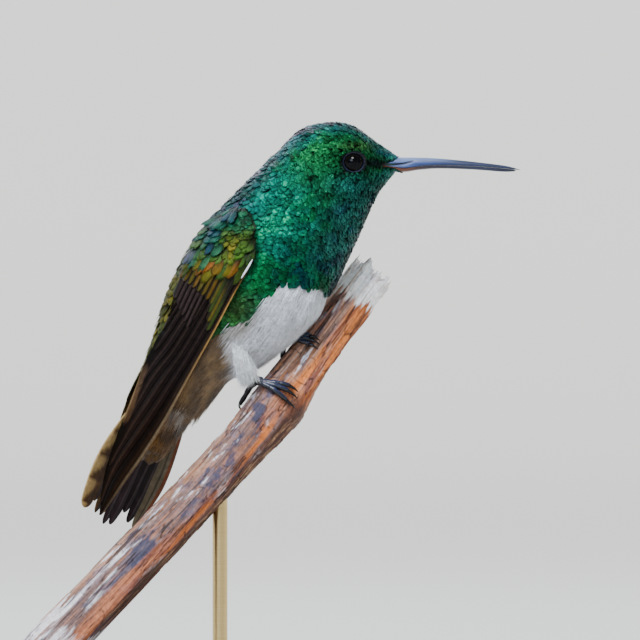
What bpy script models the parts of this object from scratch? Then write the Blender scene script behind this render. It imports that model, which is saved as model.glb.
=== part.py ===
"""A snowy-bellied hummingbird at life size, perched on a cut branch that one rod holds over a round base.

Units are millimetres in the tables and metres in the scene, +Z up. The bird faces +X, its middle plane is Y = 0
and its right side faces -Y. The origin is the centre of the base's underside.
"""

import math

import bmesh
import bpy
from mathutils import Vector

MM = 0.001
GAP = 0.3  # clearance between neighbouring pieces
BILL_GAP = 0.14  # the bill's two halves close tighter than the soft pieces meet

# ---- The body: dorsal point and ventral point (x, z) and half-width at each station ----
BODY = (
    ((24.6, 83.8), (23.9, 81.7), 1.2),  # base of the bill
    ((21.2, 85.8), (21.4, 79.2), 3.3),  # lores and chin
    ((16.5, 88.8), (19.6, 75.7), 5.3),  # eyes
    ((10.3, 88.3), (18.2, 72.4), 6.1),  # crown and throat
    ((5.8, 84.2), (16.6, 69.0), 6.8),  # nape
    ((0.8, 79.3), (14.8, 65.2), 7.9),  # foot of the neck
    ((-4.4, 73.9), (12.5, 61.5), 8.8),  # shoulders and breast
    ((-8.4, 67.6), (9.3, 57.9), 8.7),  # back and belly
    ((-10.8, 61.6), (4.6, 54.0), 7.6),  # lower back
    ((-12.4, 56.3), (-0.2, 51.4), 6.0),  # rump and vent
    ((-14.2, 51.4), (-4.4, 46.9), 4.1),  # root of the tail
)
BODY_SIDES = 28
SQUARENESS = 2.25  # exponent of the body's sections: 2 is an ellipse
SEGMENTS = (  # node, first and last place along the stations, rings, material
    ("head", 0.0, 3.75, 12, "crown_green"),
    ("neck", 3.75, 5.1, 5, "throat_green"),
    ("trunk", 5.1, 8.4, 10, "breast_green"),
    ("rump", 8.4, 10.0, 6, "belly_white"),
)
SEGMENT_GAP = 0.045  # clearance between two segments, in stations

# ---- Head ----
EYE_CENTRE = (17.45, 4.1, 83.1)  # of the left eye; the right one is its mirror image
EYE_RADIUS = 1.85
BILL = (  # x, top of the culmen, line where the halves meet, underside, half-width
    (24.95, 83.85, 82.3, 81.65, 1.2),
    (27.2, 83.9, 82.6, 81.95, 0.95),
    (30.1, 83.8, 82.75, 82.15, 0.75),
    (34.9, 83.3, 82.6, 82.05, 0.6),
    (39.4, 82.75, 82.3, 81.8, 0.45),
    (41.0, 82.4, 82.12, 81.85, 0.26),
)
UPPER_TIP = (42.1, 82.05)
LOWER_TIP = (41.4, 81.95)
BILL_ARC = 7  # points over each half's round side

# ---- Tail: a fan of feathers in a plane that is rolled about its axis ----
TAIL_ROOT = (-5.6, 0.0, 58.3)
TAIL_DIP = math.radians(63.8)  # below the horizon
TAIL_ROLL = math.radians(45.0)  # turns the underside towards the bird's right
TAIL_START, TAIL_LENGTH = 11.6, 30.4  # distances from the root to where the outer feathers start and end
TAIL_FEATHERS = 10
TAIL_HALF = ((5.2,), (6.3,), (7.15,), (7.3,), (6.9,))  # half-width at even steps from start to end
TAIL_ROUND = 1.1  # how much longer the middle feathers are
TAIL_TIP = 1.3  # how far a feather's tip stands out past its corners
TAIL_CURL = 0.5  # how far the outer feathers sink below the middle ones
TAIL_RIDGE = 0.16  # how far each shaft stands out from its feather's edges
TAIL_FEATHER_COLUMNS, TAIL_ROWS = 3, 7
COVERTS = {  # wedge: side of the tail, shift across it, rows of distance along it, half-height and half-width
    "tail_coverts_under": (
        -1,
        1.4,
        ((9.4, 2.3, 3.3), (12.5, 2.0, 3.2), (15.5, 1.4, 2.8), (18.5, 0.9, 2.0), (20.6, 0.45, 0.9)),
    ),
    "tail_coverts_upper": (1, -0.7, ((8.6, 2.4, 3.4), (12.9, 2.2, 3.7), (15.8, 1.4, 3.5), (18.4, 0.5, 2.4))),
}
COVERT_SIDES = 14
FEATHER_THICKNESS = 0.6

# ---- Wings: leading point, trailing point (x, z), half-thickness and least distance from the middle plane ----
WING = (
    ((2.3, 75.9), (-0.6, 76.2), 0.5, 1.0),  # top of the shoulder
    ((3.6, 72.6), (-4.4, 72.9), 0.75, 1.8),  # bend of the wing
    ((3.1, 69.2), (-6.2, 69.8), 0.8, 2.4),
    ((0.6, 64.9), (-7.9, 66.4), 0.75, 3.0),  # ends of the coverts
    ((-2.6, 58.9), (-9.7, 62.3), 0.6, 3.6),
    ((-5.4, 53.9), (-11.4, 57.6), 0.5, 4.4),
    ((-8.0, 49.1), (-13.3, 53.6), 0.45, 5.1),
    ((-10.6, 44.4), (-15.2, 48.6), 0.4, 5.6),
    ((-13.3, 40.1), (-17.2, 43.4), 0.35, 6.0),
    ((-16.2, 36.0), (-19.0, 38.2), 0.3, 6.3),
    ((-19.5, 31.3), (-20.2, 31.8), 0.27, 6.5),  # tip
)
WING_SPLIT = 3.2  # station where the coverts end and the flight feathers begin
WING_ACROSS, WING_ROWS = 6, 22  # points across the wing, and rows down its flight feathers
WING_STEPS = 6  # feather tips along the trailing edge
WING_STEP_DEPTH = 0.7

# ---- Branch: its axis (x, z) from the sawn end to the broken end, and its radius there ----
BRANCH = (
    ((-29.2, 9.7), 3.8),
    ((-16.8, 22.4), 3.8),
    ((-6.2, 33.5), 3.6),
    ((0.7, 41.2), 3.7),
    ((5.6, 47.1), 4.0),  # swelling under the right foot
    ((11.0, 54.4), 3.4),
    ((19.9, 66.3), 3.45),
)
BRANCH_SLOPE = 0.38  # rise of Y for each mm along its side view, towards the upper end
BRANCH_LEVEL = (8.6, 51.0)  # the place (x, z) between the feet
BRANCH_SIDE = 1.4  # Y of the axis there
BRANCH_RINGS = 25
BRANCH_SIDES = 18
SPLINTERS = 5
SPLINTER_DEPTH = 2.6

# ---- Legs: places on the branch are mm along it from "over" (x, z), and degrees round it from its upper edge ----
TOE_RADIUS = 0.42
LIMB_SIDES, THIGH_SIDES = 6, 12
CLAW_TURN = 26.0  # degrees that a claw reaches past its toe
FEET = {
    "right": {
        "over": (5.6, 47.1),
        "sole": (0.7, 38.0),
        "front": ((2.7, 88.0), (1.9, 92.0), (0.6, 100.0)),
        "hind": (-2.1, -18.0),
        "thigh": ((-0.4, -5.2, 58.2), (2.1, -3.4, 50.9)),
    },
    "left": {
        "over": (11.0, 54.4),
        "sole": (-0.6, -16.0),
        "front": ((1.6, 58.0), (1.1, 63.0), (0.4, 68.0)),
        "hind": (-2.5, -42.0),
        "thigh": ((3.0, 6.0, 58.6), (6.9, 4.4, 57.6)),
    },
}
THIGH_TOP, THIGH_FOOT = 2.3, 1.5  # radii

# ---- Stand ----
BASE_RADIUS, BASE_HEIGHT, BASE_BEVEL = 30.0, 5.0, 0.8
ROD_RADIUS = 1.1
ROD_AT = (-2.2, 38.0)  # the place (x, z) on the branch's axis over the rod
COLLAR_RADIUS, COLLAR_HEIGHT = 2.6, 1.8

COLOURS = {  # colour, roughness, metallic
    "crown_green": ((0.02, 0.20, 0.10), 0.45, 0.3),
    "throat_green": ((0.01, 0.24, 0.16), 0.42, 0.3),
    "breast_green": ((0.01, 0.26, 0.12), 0.45, 0.3),
    "belly_white": ((0.78, 0.76, 0.74), 0.9, 0.0),
    "wing_coverts": ((0.16, 0.20, 0.03), 0.5, 0.3),
    "flight_brown": ((0.035, 0.022, 0.02), 0.55, 0.0),
    "tail_bronze": ((0.09, 0.05, 0.03), 0.5, 0.1),
    "bill_black": ((0.03, 0.03, 0.045), 0.3, 0.0),
    "bill_red": ((0.20, 0.06, 0.03), 0.35, 0.0),
    "eye_dark": ((0.008, 0.006, 0.006), 0.05, 0.0),
    "foot_black": ((0.02, 0.02, 0.03), 0.35, 0.0),
    "perch_bark": ((0.33, 0.16, 0.10), 0.8, 0.0),
    "stand_wood": ((0.13, 0.07, 0.04), 0.4, 0.0),
    "stand_brass": ((0.60, 0.45, 0.22), 0.3, 1.0),
}


def clear_scene():
    for obj in list(bpy.data.objects):
        bpy.data.objects.remove(obj, do_unlink=True)


def make_collection(name):
    collection = bpy.data.collections.new(name)
    bpy.context.scene.collection.children.link(collection)
    return collection


def make_materials():
    for name, (colour, roughness, metallic) in COLOURS.items():
        material = bpy.data.materials.new(name)
        material.use_nodes = True
        shader = material.node_tree.nodes["Principled BSDF"]
        shader.inputs["Base Color"].default_value = (*colour, 1.0)
        shader.inputs["Roughness"].default_value = roughness
        shader.inputs["Metallic"].default_value = metallic


def spline(table, t):
    """The row of numbers at place t along a table, on a Catmull-Rom curve through its rows."""
    last = len(table) - 1
    i = min(int(t), last - 1)
    u = t - i
    rows = [table[min(max(i + k, 0), last)] for k in (-1, 0, 1, 2)]
    weights = (
        (-u + 2 * u * u - u**3) / 2,
        (2 - 5 * u * u + 3 * u**3) / 2,
        (u + 4 * u * u - 3 * u**3) / 2,
        (u**3 - u * u) / 2,
    )
    return [sum(w * row[k] for w, row in zip(weights, rows)) for k in range(len(table[0]))]


def flat(table):
    """A table of points and numbers with each row as plain numbers."""
    return [
        [x for item in row for x in (item if isinstance(item, tuple) else (item,))]
        for row in table
    ]


def steps(first, last, count):
    return [first + (last - first) * i / (count - 1) for i in range(count)]


def circle(count):
    return [2 * math.pi * i / count for i in range(count)]


def add_object(name, mesh, material, collection):
    obj = bpy.data.objects.new(name, mesh)
    collection.objects.link(obj)
    mesh.materials.append(bpy.data.materials[material])
    mesh.shade_smooth()
    mesh.set_sharp_from_angle(angle=math.radians(40))
    return obj


def loft(name, rings, material, collection, caps=(None, None)):
    """A closed body through rings of points in mm. A cap is a point, or None for its ring's middle."""
    bm = bmesh.new()
    made = [[bm.verts.new(p * MM) for p in ring] for ring in rings]
    for a, b in zip(made, made[1:]):
        for i in range(len(a)):
            j = (i + 1) % len(a)
            bm.faces.new((a[i], a[j], b[j], b[i]))
    for ring, points, cap in ((made[0], rings[0], caps[0]), (made[-1], rings[-1], caps[1])):
        middle = cap if cap is not None else sum(points, Vector()) / len(points)
        centre = bm.verts.new(middle * MM)
        for i in range(len(ring)):
            bm.faces.new((ring[i], ring[(i + 1) % len(ring)], centre))
    bmesh.ops.recalc_face_normals(bm, faces=bm.faces)
    mesh = bpy.data.meshes.new(name)
    bm.to_mesh(mesh)
    bm.free()
    return add_object(name, mesh, material, collection)


def slab(name, upper, lower, material, collection):
    """A closed sheet between two grids of points in mm, both with the same rows and columns."""
    bm = bmesh.new()
    over, under = ([[bm.verts.new(p * MM) for p in row] for row in grid] for grid in (upper, lower))
    for grid in (over, under):
        for a, b in zip(grid, grid[1:]):
            for i in range(len(a) - 1):
                bm.faces.new((a[i], a[i + 1], b[i + 1], b[i]))
    for a, b in zip(rim(over), rim(under)):
        bm.faces.new((a[0], a[1], b[1], b[0]))
    bmesh.ops.recalc_face_normals(bm, faces=bm.faces)
    mesh = bpy.data.meshes.new(name)
    bm.to_mesh(mesh)
    bm.free()
    return add_object(name, mesh, material, collection)


def rim(grid):
    """The pairs of neighbouring points round a grid's border."""
    border = grid[0] + [row[-1] for row in grid[1:]] + grid[-1][-2::-1] + [row[0] for row in grid[-2:0:-1]]
    return list(zip(border, border[1:] + border[:1]))


def boolean(obj, other, operation):
    """Applies a Boolean of obj with other, and removes other."""
    modifier = obj.modifiers.new(operation, "BOOLEAN")
    modifier.operation = operation
    modifier.object = other
    modifier.use_self = True
    bpy.context.view_layer.update()
    graph = bpy.context.evaluated_depsgraph_get()
    mesh = bpy.data.meshes.new_from_object(obj.evaluated_get(graph))
    obj.modifiers.remove(modifier)
    obj.data = mesh
    bpy.data.objects.remove(other)
    keep_largest(mesh)


def keep_largest(mesh):
    """Removes the small loose bodies that a cut can leave."""
    bm = bmesh.new()
    bm.from_mesh(mesh)
    left, bodies = set(bm.verts), []
    while left:
        body, edge = set(), [left.pop()]
        while edge:
            vert = edge.pop()
            body.add(vert)
            near = {e.other_vert(vert) for e in vert.link_edges} & left
            left -= near
            edge += near
        bodies.append(body)
    largest = max(bodies, key=len)
    bmesh.ops.delete(bm, geom=[v for v in bm.verts if v not in largest], context="VERTS")
    bm.to_mesh(mesh)
    bm.free()


# ---- Body ----


def body_ring(t, grow=0.0):
    """The body's section at place t along the stations, grown outwards by so many mm."""
    dx, dz, vx, vz, half_width = spline(flat(BODY), t)
    dorsal, ventral = Vector((dx, 0, dz)), Vector((vx, 0, vz))
    centre, half = (dorsal + ventral) / 2, (dorsal - ventral) / 2
    half = half.normalized() * (half.length + grow)
    side = Vector((0, half_width + grow, 0))
    points = []
    for angle in circle(BODY_SIDES):
        c, s = math.cos(angle), math.sin(angle)
        up = math.copysign(abs(c) ** (2 / SQUARENESS), c)
        out = math.copysign(abs(s) ** (2 / SQUARENESS), s)
        points.append(centre + half * up + side * out)
    return points


def body_clearance(first, last, rings, parts):
    """A cutter for what must stay clear of the body between two places."""
    return loft("clearance", [body_ring(t, GAP) for t in steps(first, last, rings)], "belly_white", parts)


def flank(x, z):
    """Half the body's width at a place (x, z) of its side view, or 0 outside it."""
    table = flat(BODY)
    best = 0.0
    for t in steps(4.0, len(BODY) - 1.0, 121):
        dx, dz, vx, vz, half_width = spline(table, t)
        line = Vector((vx - dx, vz - dz))
        to_point = Vector((x - dx, z - dz))
        share = to_point.dot(line) / line.length_squared
        if 0 < share < 1 and abs(to_point.cross(line)) / line.length < 0.25:
            height = abs(2 * share - 1)
            best = max(best, half_width * (1 - height**SQUARENESS) ** (1 / SQUARENESS))
    return best


def make_body(parts):
    for name, first, last, rings, material in SEGMENTS:
        start = first + (SEGMENT_GAP / 2 if first else 0)
        loft(name, [body_ring(t) for t in steps(start, last - SEGMENT_GAP / 2, rings)], material, parts)


def make_eyes(parts):
    for side, sign in (("left", 1), ("right", -1)):
        centre = Vector((EYE_CENTRE[0], sign * EYE_CENTRE[1], EYE_CENTRE[2])) * MM
        for name, radius in (("socket", EYE_RADIUS + GAP * 0.7), ("eye_" + side, EYE_RADIUS)):
            bm = bmesh.new()
            bmesh.ops.create_uvsphere(bm, u_segments=16, v_segments=10, radius=radius * MM)
            bmesh.ops.translate(bm, verts=bm.verts, vec=centre)
            mesh = bpy.data.meshes.new(name)
            bm.to_mesh(mesh)
            bm.free()
            obj = add_object(name, mesh, "eye_dark", parts)
            if name == "socket":
                boolean(parts.objects["head"], obj, "DIFFERENCE")


def make_bill(parts):
    """Both halves are domes over a flat face: the upper one's bulges up and the lower one's down."""
    for name, sign, tip, material in (
        ("bill_upper", 1, UPPER_TIP, "bill_black"),
        ("bill_lower", -1, LOWER_TIP, "bill_red"),
    ):
        rings = []
        for t in steps(0, len(BILL) - 1.0, 13):
            x, top, seam, underside, half_width = spline(BILL, t)
            start = seam + sign * BILL_GAP / 2
            rise = (top if sign > 0 else underside) - start
            arc = [math.pi * i / (BILL_ARC - 1) for i in range(BILL_ARC)]
            ring = [Vector((x, half_width * math.cos(a), start + rise * math.sin(a))) for a in arc]
            rings.append(ring)
        end = Vector((tip[0], 0, tip[1] + sign * BILL_GAP / 2))
        loft(name, rings, material, parts, (None, end))


# ---- Tail ----


def tail_axes():
    """Unit vectors along the tail, across it towards the bird's left, and out of its upper side."""
    along = Vector((-math.cos(TAIL_DIP), 0, -math.sin(TAIL_DIP)))
    down = Vector((math.sin(TAIL_DIP), 0, -math.cos(TAIL_DIP)))
    across = math.cos(TAIL_ROLL) * Vector((0, 1, 0)) + math.sin(TAIL_ROLL) * down
    return along, across, across.cross(along)


def make_tail(parts):
    """The fan as one slab, with a ridge for each feather's shaft and a rounded tip at its end."""
    along, across, up = tail_axes()
    columns = steps(-1.0, 1.0, TAIL_FEATHERS * TAIL_FEATHER_COLUMNS + 1)
    upper, lower = [], []
    for share in steps(0, 1, TAIL_ROWS):
        over, under = [], []
        for u in columns:
            strip = (u + 1) / 2 * TAIL_FEATHERS % 1.0
            end = TAIL_LENGTH + TAIL_ROUND * (1 - abs(u)) - TAIL_TIP * (2 * strip - 1) ** 2
            distance = TAIL_START + (end - TAIL_START) * share
            half = spline(TAIL_HALF, share * (len(TAIL_HALF) - 1))[0]
            height = TAIL_RIDGE * math.sin(math.pi * strip) - TAIL_CURL * u * u
            point = Vector(TAIL_ROOT) + along * distance + across * (u * half) + up * height
            over.append(point)
            under.append(point - up * FEATHER_THICKNESS)
        upper.append(over)
        lower.append(under)
    slab("tail", upper, lower, "tail_bronze", parts)


def make_coverts(parts):
    """The wedges of feathers under and over the tail, which begin clear of the rump."""
    along, across, up = tail_axes()
    for name, (side, shift, rows) in COVERTS.items():
        clear = GAP + (TAIL_RIDGE if side > 0 else FEATHER_THICKNESS + TAIL_CURL * 0.35)
        rings = []
        for distance, half_height, half_width in rows:
            centre = Vector(TAIL_ROOT) + along * distance + across * shift + up * side * (clear + half_height)
            rings.append(
                [
                    centre + up * half_height * math.cos(a) + across * half_width * math.sin(a)
                    for a in circle(COVERT_SIDES)
                ]
            )
        coverts = loft(name, rings, "belly_white" if side < 0 else "crown_green", parts)
        boolean(coverts, body_clearance(7.0, 10.0 + SEGMENT_GAP, 10, parts), "DIFFERENCE")


# ---- Wings ----


def wing_section(t, sign):
    """The wing's outside and inside at place t, each a row of points from the leading to the trailing edge."""
    table = flat(WING)
    lx, lz, tx, tz, half, least = spline(table, t)
    tips = max(t - WING_SPLIT, 0) / (len(WING) - 1 - WING_SPLIT) * WING_STEPS
    notch = WING_STEP_DEPTH * (tips % 1.0) * min(1.0, 4 * (1 - t / (len(WING) - 1)))
    edge = Vector((lx - tx, 0, lz - tz))
    tx, tz = tx + edge.x * notch / edge.length, tz + edge.z * notch / edge.length
    inside, outside = [], []
    for share in steps(0, 1, WING_ACROSS):
        x, z = lx + (tx - lx) * share, lz + (tz - lz) * share
        rest = max(flank(x, z) + GAP, least + 0.5 * math.sin(math.pi * share))
        thick = half * (0.45 + 0.55 * math.sin(math.pi * min(max(share, 0.08), 0.92)))
        inside.append(Vector((x, sign * rest, z)))
        outside.append(Vector((x, sign * (rest + 2 * thick), z)))
    return outside, inside


def smoothed(rows):
    """The rows with each point's Y evened along the wing, and never moved towards the body."""
    evened = []
    for i, row in enumerate(rows):
        near = [rows[min(max(i + k, 0), len(rows) - 1)] for k in (-1, 0, 1)]
        means = [sum(r[j].y for r in near) / 3 for j in range(len(row))]
        evened.append([Vector((p.x, max(m, p.y, key=abs), p.z)) for p, m in zip(row, means)])
    return evened


def make_wings(parts):
    last = len(WING) - 1
    for side, sign in (("left", 1), ("right", -1)):
        for name, first, end, count, material in (
            ("wing_%s_coverts" % side, 0.0, WING_SPLIT, 9, "wing_coverts"),
            ("wing_%s_flight" % side, WING_SPLIT + 0.07, last, WING_ROWS, "flight_brown"),
        ):
            outside, inside = zip(*(wing_section(t, sign) for t in steps(first, end, count)))
            slab(name, smoothed(outside), smoothed(inside), material, parts)


# ---- Branch ----


def branch_table():
    """The axis (x, y, z) and radius at each station, with Y from the branch's slope."""
    level = Vector(BRANCH_LEVEL)
    table = []
    for (x, z), radius in BRANCH:
        away = Vector((x, z)) - level
        distance = math.copysign(away.length, away.y)
        table.append([x, BRANCH_SIDE + BRANCH_SLOPE * distance, z, radius])
    return table


def branch_frame(t):
    """The axis point at place t, unit vectors along it, to its upper edge and to -Y, and the radius there."""
    table = branch_table()
    last = len(table) - 1
    *point, radius = spline(table, t)
    ahead = Vector(spline(table, min(t + 0.05, last))[:3])
    behind = Vector(spline(table, max(t - 0.05, 0))[:3])
    along = (ahead - behind).normalized()
    upper = along.cross(Vector((0, 1, 0))).normalized()
    return Vector(point), along, upper, along.cross(upper), radius


def branch_bark(t, angle):
    """How far the bark stands out from the plain radius, in mm: long ridges and a knot."""
    ridges = 0.16 * math.sin(3 * angle + 1.3 * t) + 0.09 * math.sin(7 * angle - 2.0 * t)
    knot = 0.55 * math.exp(-((t - 4.15) ** 2) / 0.05 - (math.remainder(angle - 2.5, 2 * math.pi)) ** 2 / 0.5)
    return ridges + knot


def branch_ring(t, grow=0.0):
    """The bark's section at place t, grown outwards by so many mm."""
    point, _, upper, near, radius = branch_frame(t)
    reaches = [(a, radius + branch_bark(t, a) + grow) for a in circle(BRANCH_SIDES)]
    return [point + reach * (math.cos(a) * upper + math.sin(a) * near) for a, reach in reaches]


def make_branch(parts):
    """The branch, sawn flat at its lower end and splintered at the upper one."""
    last = len(BRANCH) - 1
    rings = [branch_ring(t) for t in steps(0, last, BRANCH_RINGS)]
    point, along, *_ = branch_frame(last)
    for spot, angle in zip(rings[-1], circle(BRANCH_SIDES)):
        jag = 0.5 + 0.5 * math.cos(SPLINTERS * angle + 0.6)
        spot += along * (SPLINTER_DEPTH * (jag - 0.4) - 0.5 * (1 - math.cos(angle)))
    hollow = point - along * SPLINTER_DEPTH * 0.6
    loft("perch_branch", rings, "perch_bark", parts, (None, hollow))


def place_on_branch(at):
    """The place t along the branch whose axis is nearest to a side-view point (x, z)."""
    spot = Vector(at)
    places = steps(0, len(BRANCH) - 1, 601)
    return min(places, key=lambda t: (Vector((branch_frame(t)[0].x, branch_frame(t)[0].z)) - spot).length)


def on_branch(start, distance, degrees, lift):
    """A point over the bark: mm along the axis from place start, degrees round it, and mm above the surface."""
    point, along, *_ = branch_frame(start)
    t = place_on_branch(((point + along * distance).x, (point + along * distance).z))
    point, _, upper, near, radius = branch_frame(t)
    angle = math.radians(degrees)
    reach = radius + branch_bark(t, angle) + lift
    return point + reach * (math.cos(angle) * upper + math.sin(angle) * near)


# ---- Legs ----


def tube(name, points, radii, material, parts, sides=LIMB_SIDES):
    """A round limb through points, closed at both ends, with its own radius at each point."""
    rings = []
    for i, point in enumerate(points):
        along = (points[min(i + 1, len(points) - 1)] - points[max(i - 1, 0)]).normalized()
        across = along.cross(Vector((0.3, 1, 0.2))).normalized()
        other = along.cross(across)
        ring = []
        for angle in circle(sides):
            ring.append(point + radii[i] * (math.cos(angle) * across + math.sin(angle) * other))
        rings.append(ring)
    return loft(name, rings, material, parts)


def toe(name, start, sole, tip, grow, parts):
    """One toe and its claw, from the sole round the branch to its tip, grown by so many mm."""
    (s0, a0), (s1, a1) = sole, tip
    points, radii = [], []
    for share in steps(0, 1, 7):
        knuckle = 0.06 * math.sin(share * math.pi * 3) ** 2
        lift = TOE_RADIUS + GAP + 0.35 * (1 - share) ** 2
        points.append(on_branch(start, s0 + (s1 - s0) * share, a0 + (a1 - a0) * share, lift))
        radii.append(TOE_RADIUS * (1.15 - 0.3 * share) + knuckle + grow)
    claw = math.copysign(CLAW_TURN, a1 - a0)
    for share, radius in ((0.35, 0.26), (0.75, 0.18), (1.0, 0.07)):
        points.append(on_branch(start, s1 + (s1 - s0) * 0.12 * share, a1 + claw * share, GAP + radius + 0.05))
        radii.append(radius + grow)
    return tube(name, points, radii, "foot_black", parts)


def make_foot(side, grow, name, parts):
    """The sole, three front toes and the hind toe as one body."""
    foot = FEET[side]
    start = place_on_branch(foot["over"])
    lower = Vector(foot["thigh"][1])
    sole = on_branch(start, *foot["sole"], TOE_RADIUS + GAP + 0.5)
    ankle = sole + (lower - sole) * 0.55
    pad = sole * 2 - ankle * 0.9 - lower * 0.1
    radii = [radius + grow for radius in (0.75, 0.8, 0.85, 0.4)]
    made = tube(name, [ankle, (ankle + sole) / 2, sole, pad], radii, "foot_black", parts)
    for tip in (*foot["front"], foot["hind"]):
        boolean(made, toe("toe", start, foot["sole"], tip, grow, parts), "UNION")
    return made


def make_legs(parts):
    for side, foot in FEET.items():
        top, lower = (Vector(p) for p in foot["thigh"])
        shares = steps(0, 1, 8)
        points = [top + (lower - top) * share for share in shares]
        swell = [0.45 + 0.55 * math.sin(math.pi * min(0.5, 0.2 + 0.9 * s)) for s in shares]
        radii = [(THIGH_TOP + (THIGH_FOOT - THIGH_TOP) * s) * w for s, w in zip(shares, swell)]
        thigh = tube("thigh_" + side, points, radii, "belly_white", parts, THIGH_SIDES)
        boolean(thigh, body_clearance(5.0, 10.0, 24, parts), "DIFFERENCE")
        foot_clear = make_foot(side, GAP, "foot_clearance", parts)
        boolean(thigh, foot_clear, "DIFFERENCE")
        make_foot(side, 0.0, "foot_" + side, parts)
        boolean(parts.objects["trunk"], make_foot(side, GAP, "foot_clearance", parts), "DIFFERENCE")


# ---- Stand ----


def make_disc(name, radius, low, high, bevel, material, parts, sides, centre=(0, 0)):
    bm = bmesh.new()
    bmesh.ops.create_cone(
        bm, cap_ends=True, segments=sides, radius1=radius * MM, radius2=radius * MM, depth=(high - low) * MM
    )
    bmesh.ops.translate(bm, verts=bm.verts, vec=Vector((*centre, (low + high) / 2)) * MM)
    mesh = bpy.data.meshes.new(name)
    bm.to_mesh(mesh)
    bm.free()
    obj = add_object(name, mesh, material, parts)
    if bevel:
        modifier = obj.modifiers.new("Bevel", "BEVEL")
        modifier.width = bevel * MM
        modifier.segments = 2
        modifier.limit_method = "ANGLE"
    return obj


def make_stand(parts):
    near = place_on_branch(ROD_AT)
    point = branch_frame(near)[0]
    centre = (point.x, point.y)
    make_disc("stand_base", BASE_RADIUS, 0, BASE_HEIGHT, BASE_BEVEL, "stand_wood", parts, 40)
    foot = BASE_HEIGHT + GAP / 2
    make_disc("stand_collar", COLLAR_RADIUS, foot, foot + COLLAR_HEIGHT, 0.3, "stand_brass", parts, 20, centre)
    top = foot + COLLAR_HEIGHT + GAP / 2
    rod = make_disc("stand_rod", ROD_RADIUS, top, point.z, 0, "stand_brass", parts, 16, centre)
    rings = [branch_ring(t, GAP) for t in steps(near - 0.8, near + 0.8, 9)]
    boolean(rod, loft("clearance", rings, "perch_bark", parts), "DIFFERENCE")


def main():
    clear_scene()
    make_materials()
    parts = make_collection("hummingbird")
    make_body(parts)
    make_eyes(parts)
    make_bill(parts)
    make_tail(parts)
    make_coverts(parts)
    make_wings(parts)
    make_branch(parts)
    make_legs(parts)
    make_stand(parts)


main()
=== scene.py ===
import math

import bpy
import numpy as np
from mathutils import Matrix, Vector, noise
from mathutils.kdtree import KDTree


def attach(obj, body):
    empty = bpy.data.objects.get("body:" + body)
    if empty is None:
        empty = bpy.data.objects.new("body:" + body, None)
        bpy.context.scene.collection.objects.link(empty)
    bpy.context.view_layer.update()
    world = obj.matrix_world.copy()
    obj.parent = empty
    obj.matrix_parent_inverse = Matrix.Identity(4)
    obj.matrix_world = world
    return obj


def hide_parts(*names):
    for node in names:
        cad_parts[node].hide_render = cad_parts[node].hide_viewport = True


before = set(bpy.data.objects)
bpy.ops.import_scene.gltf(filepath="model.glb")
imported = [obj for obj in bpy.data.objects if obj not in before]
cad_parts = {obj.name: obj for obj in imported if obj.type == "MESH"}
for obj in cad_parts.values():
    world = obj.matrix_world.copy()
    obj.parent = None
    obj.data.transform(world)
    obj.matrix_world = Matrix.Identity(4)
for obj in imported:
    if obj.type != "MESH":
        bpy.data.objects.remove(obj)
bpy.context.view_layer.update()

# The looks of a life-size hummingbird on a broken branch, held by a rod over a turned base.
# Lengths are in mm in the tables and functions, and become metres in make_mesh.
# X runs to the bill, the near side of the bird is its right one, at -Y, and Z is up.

MM = 0.001
rng = np.random.default_rng(20)

# ---- Measures, the same as the solids' ----

# Dorsal (x, z), ventral (x, z), half-width: stations 0 to 10 from the bill's base to the rump's end.
BODY = np.array([
    (24.6, 83.8, 23.9, 81.7, 1.2), (21.2, 85.8, 21.4, 79.2, 3.3), (16.5, 88.8, 19.6, 75.7, 5.3),
    (10.3, 88.3, 18.2, 72.4, 6.1), (5.8, 84.2, 16.6, 69.0, 6.8), (0.8, 79.3, 14.8, 65.2, 7.9),
    (-4.4, 73.9, 12.5, 61.5, 8.8), (-8.4, 67.6, 9.3, 57.9, 8.7), (-10.8, 61.6, 4.6, 54.0, 7.6),
    (-12.4, 56.3, -0.2, 51.4, 6.0), (-14.2, 51.4, -4.4, 46.9, 4.1),
])
SQUARENESS = 2.25
EYE, EYE_RADIUS = np.array((17.45, 4.1, 83.1)), 1.85
# x, top, seam, underside, half-width. The first rows run back beneath the feathers as the gape.
BILL = np.array([
    (21.2, 82.95, 82.72, 82.6, 3.1), (22.4, 83.45, 82.62, 82.35, 2.35), (23.7, 83.9, 82.45, 81.95, 1.62),
    (24.95, 83.9, 82.3, 81.76, 1.15), (27.2, 83.88, 82.6, 82.08, 0.92), (30.1, 83.75, 82.75, 82.27, 0.75),
    (34.9, 83.3, 82.6, 82.12, 0.6), (39.4, 82.75, 82.3, 81.8, 0.45), (41.0, 82.4, 82.12, 81.85, 0.26),
])
BILL_TIPS = {1: (42.1, 82.05), -1: (41.4, 81.95)}

TAIL_ROOT = np.array((-5.6, 0.0, 58.3))
TAIL_DIP, TAIL_ROLL = math.radians(63.8), math.radians(45)
TAIL_START, TAIL_LENGTH, TAIL_FEATHERS = 11.6, 30.4, 10
TAIL_HALF = np.array((5.2, 6.3, 7.15, 7.3, 6.9))[:, None]
TAIL_ROUND, TAIL_CURL = 1.1, 0.5

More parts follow.
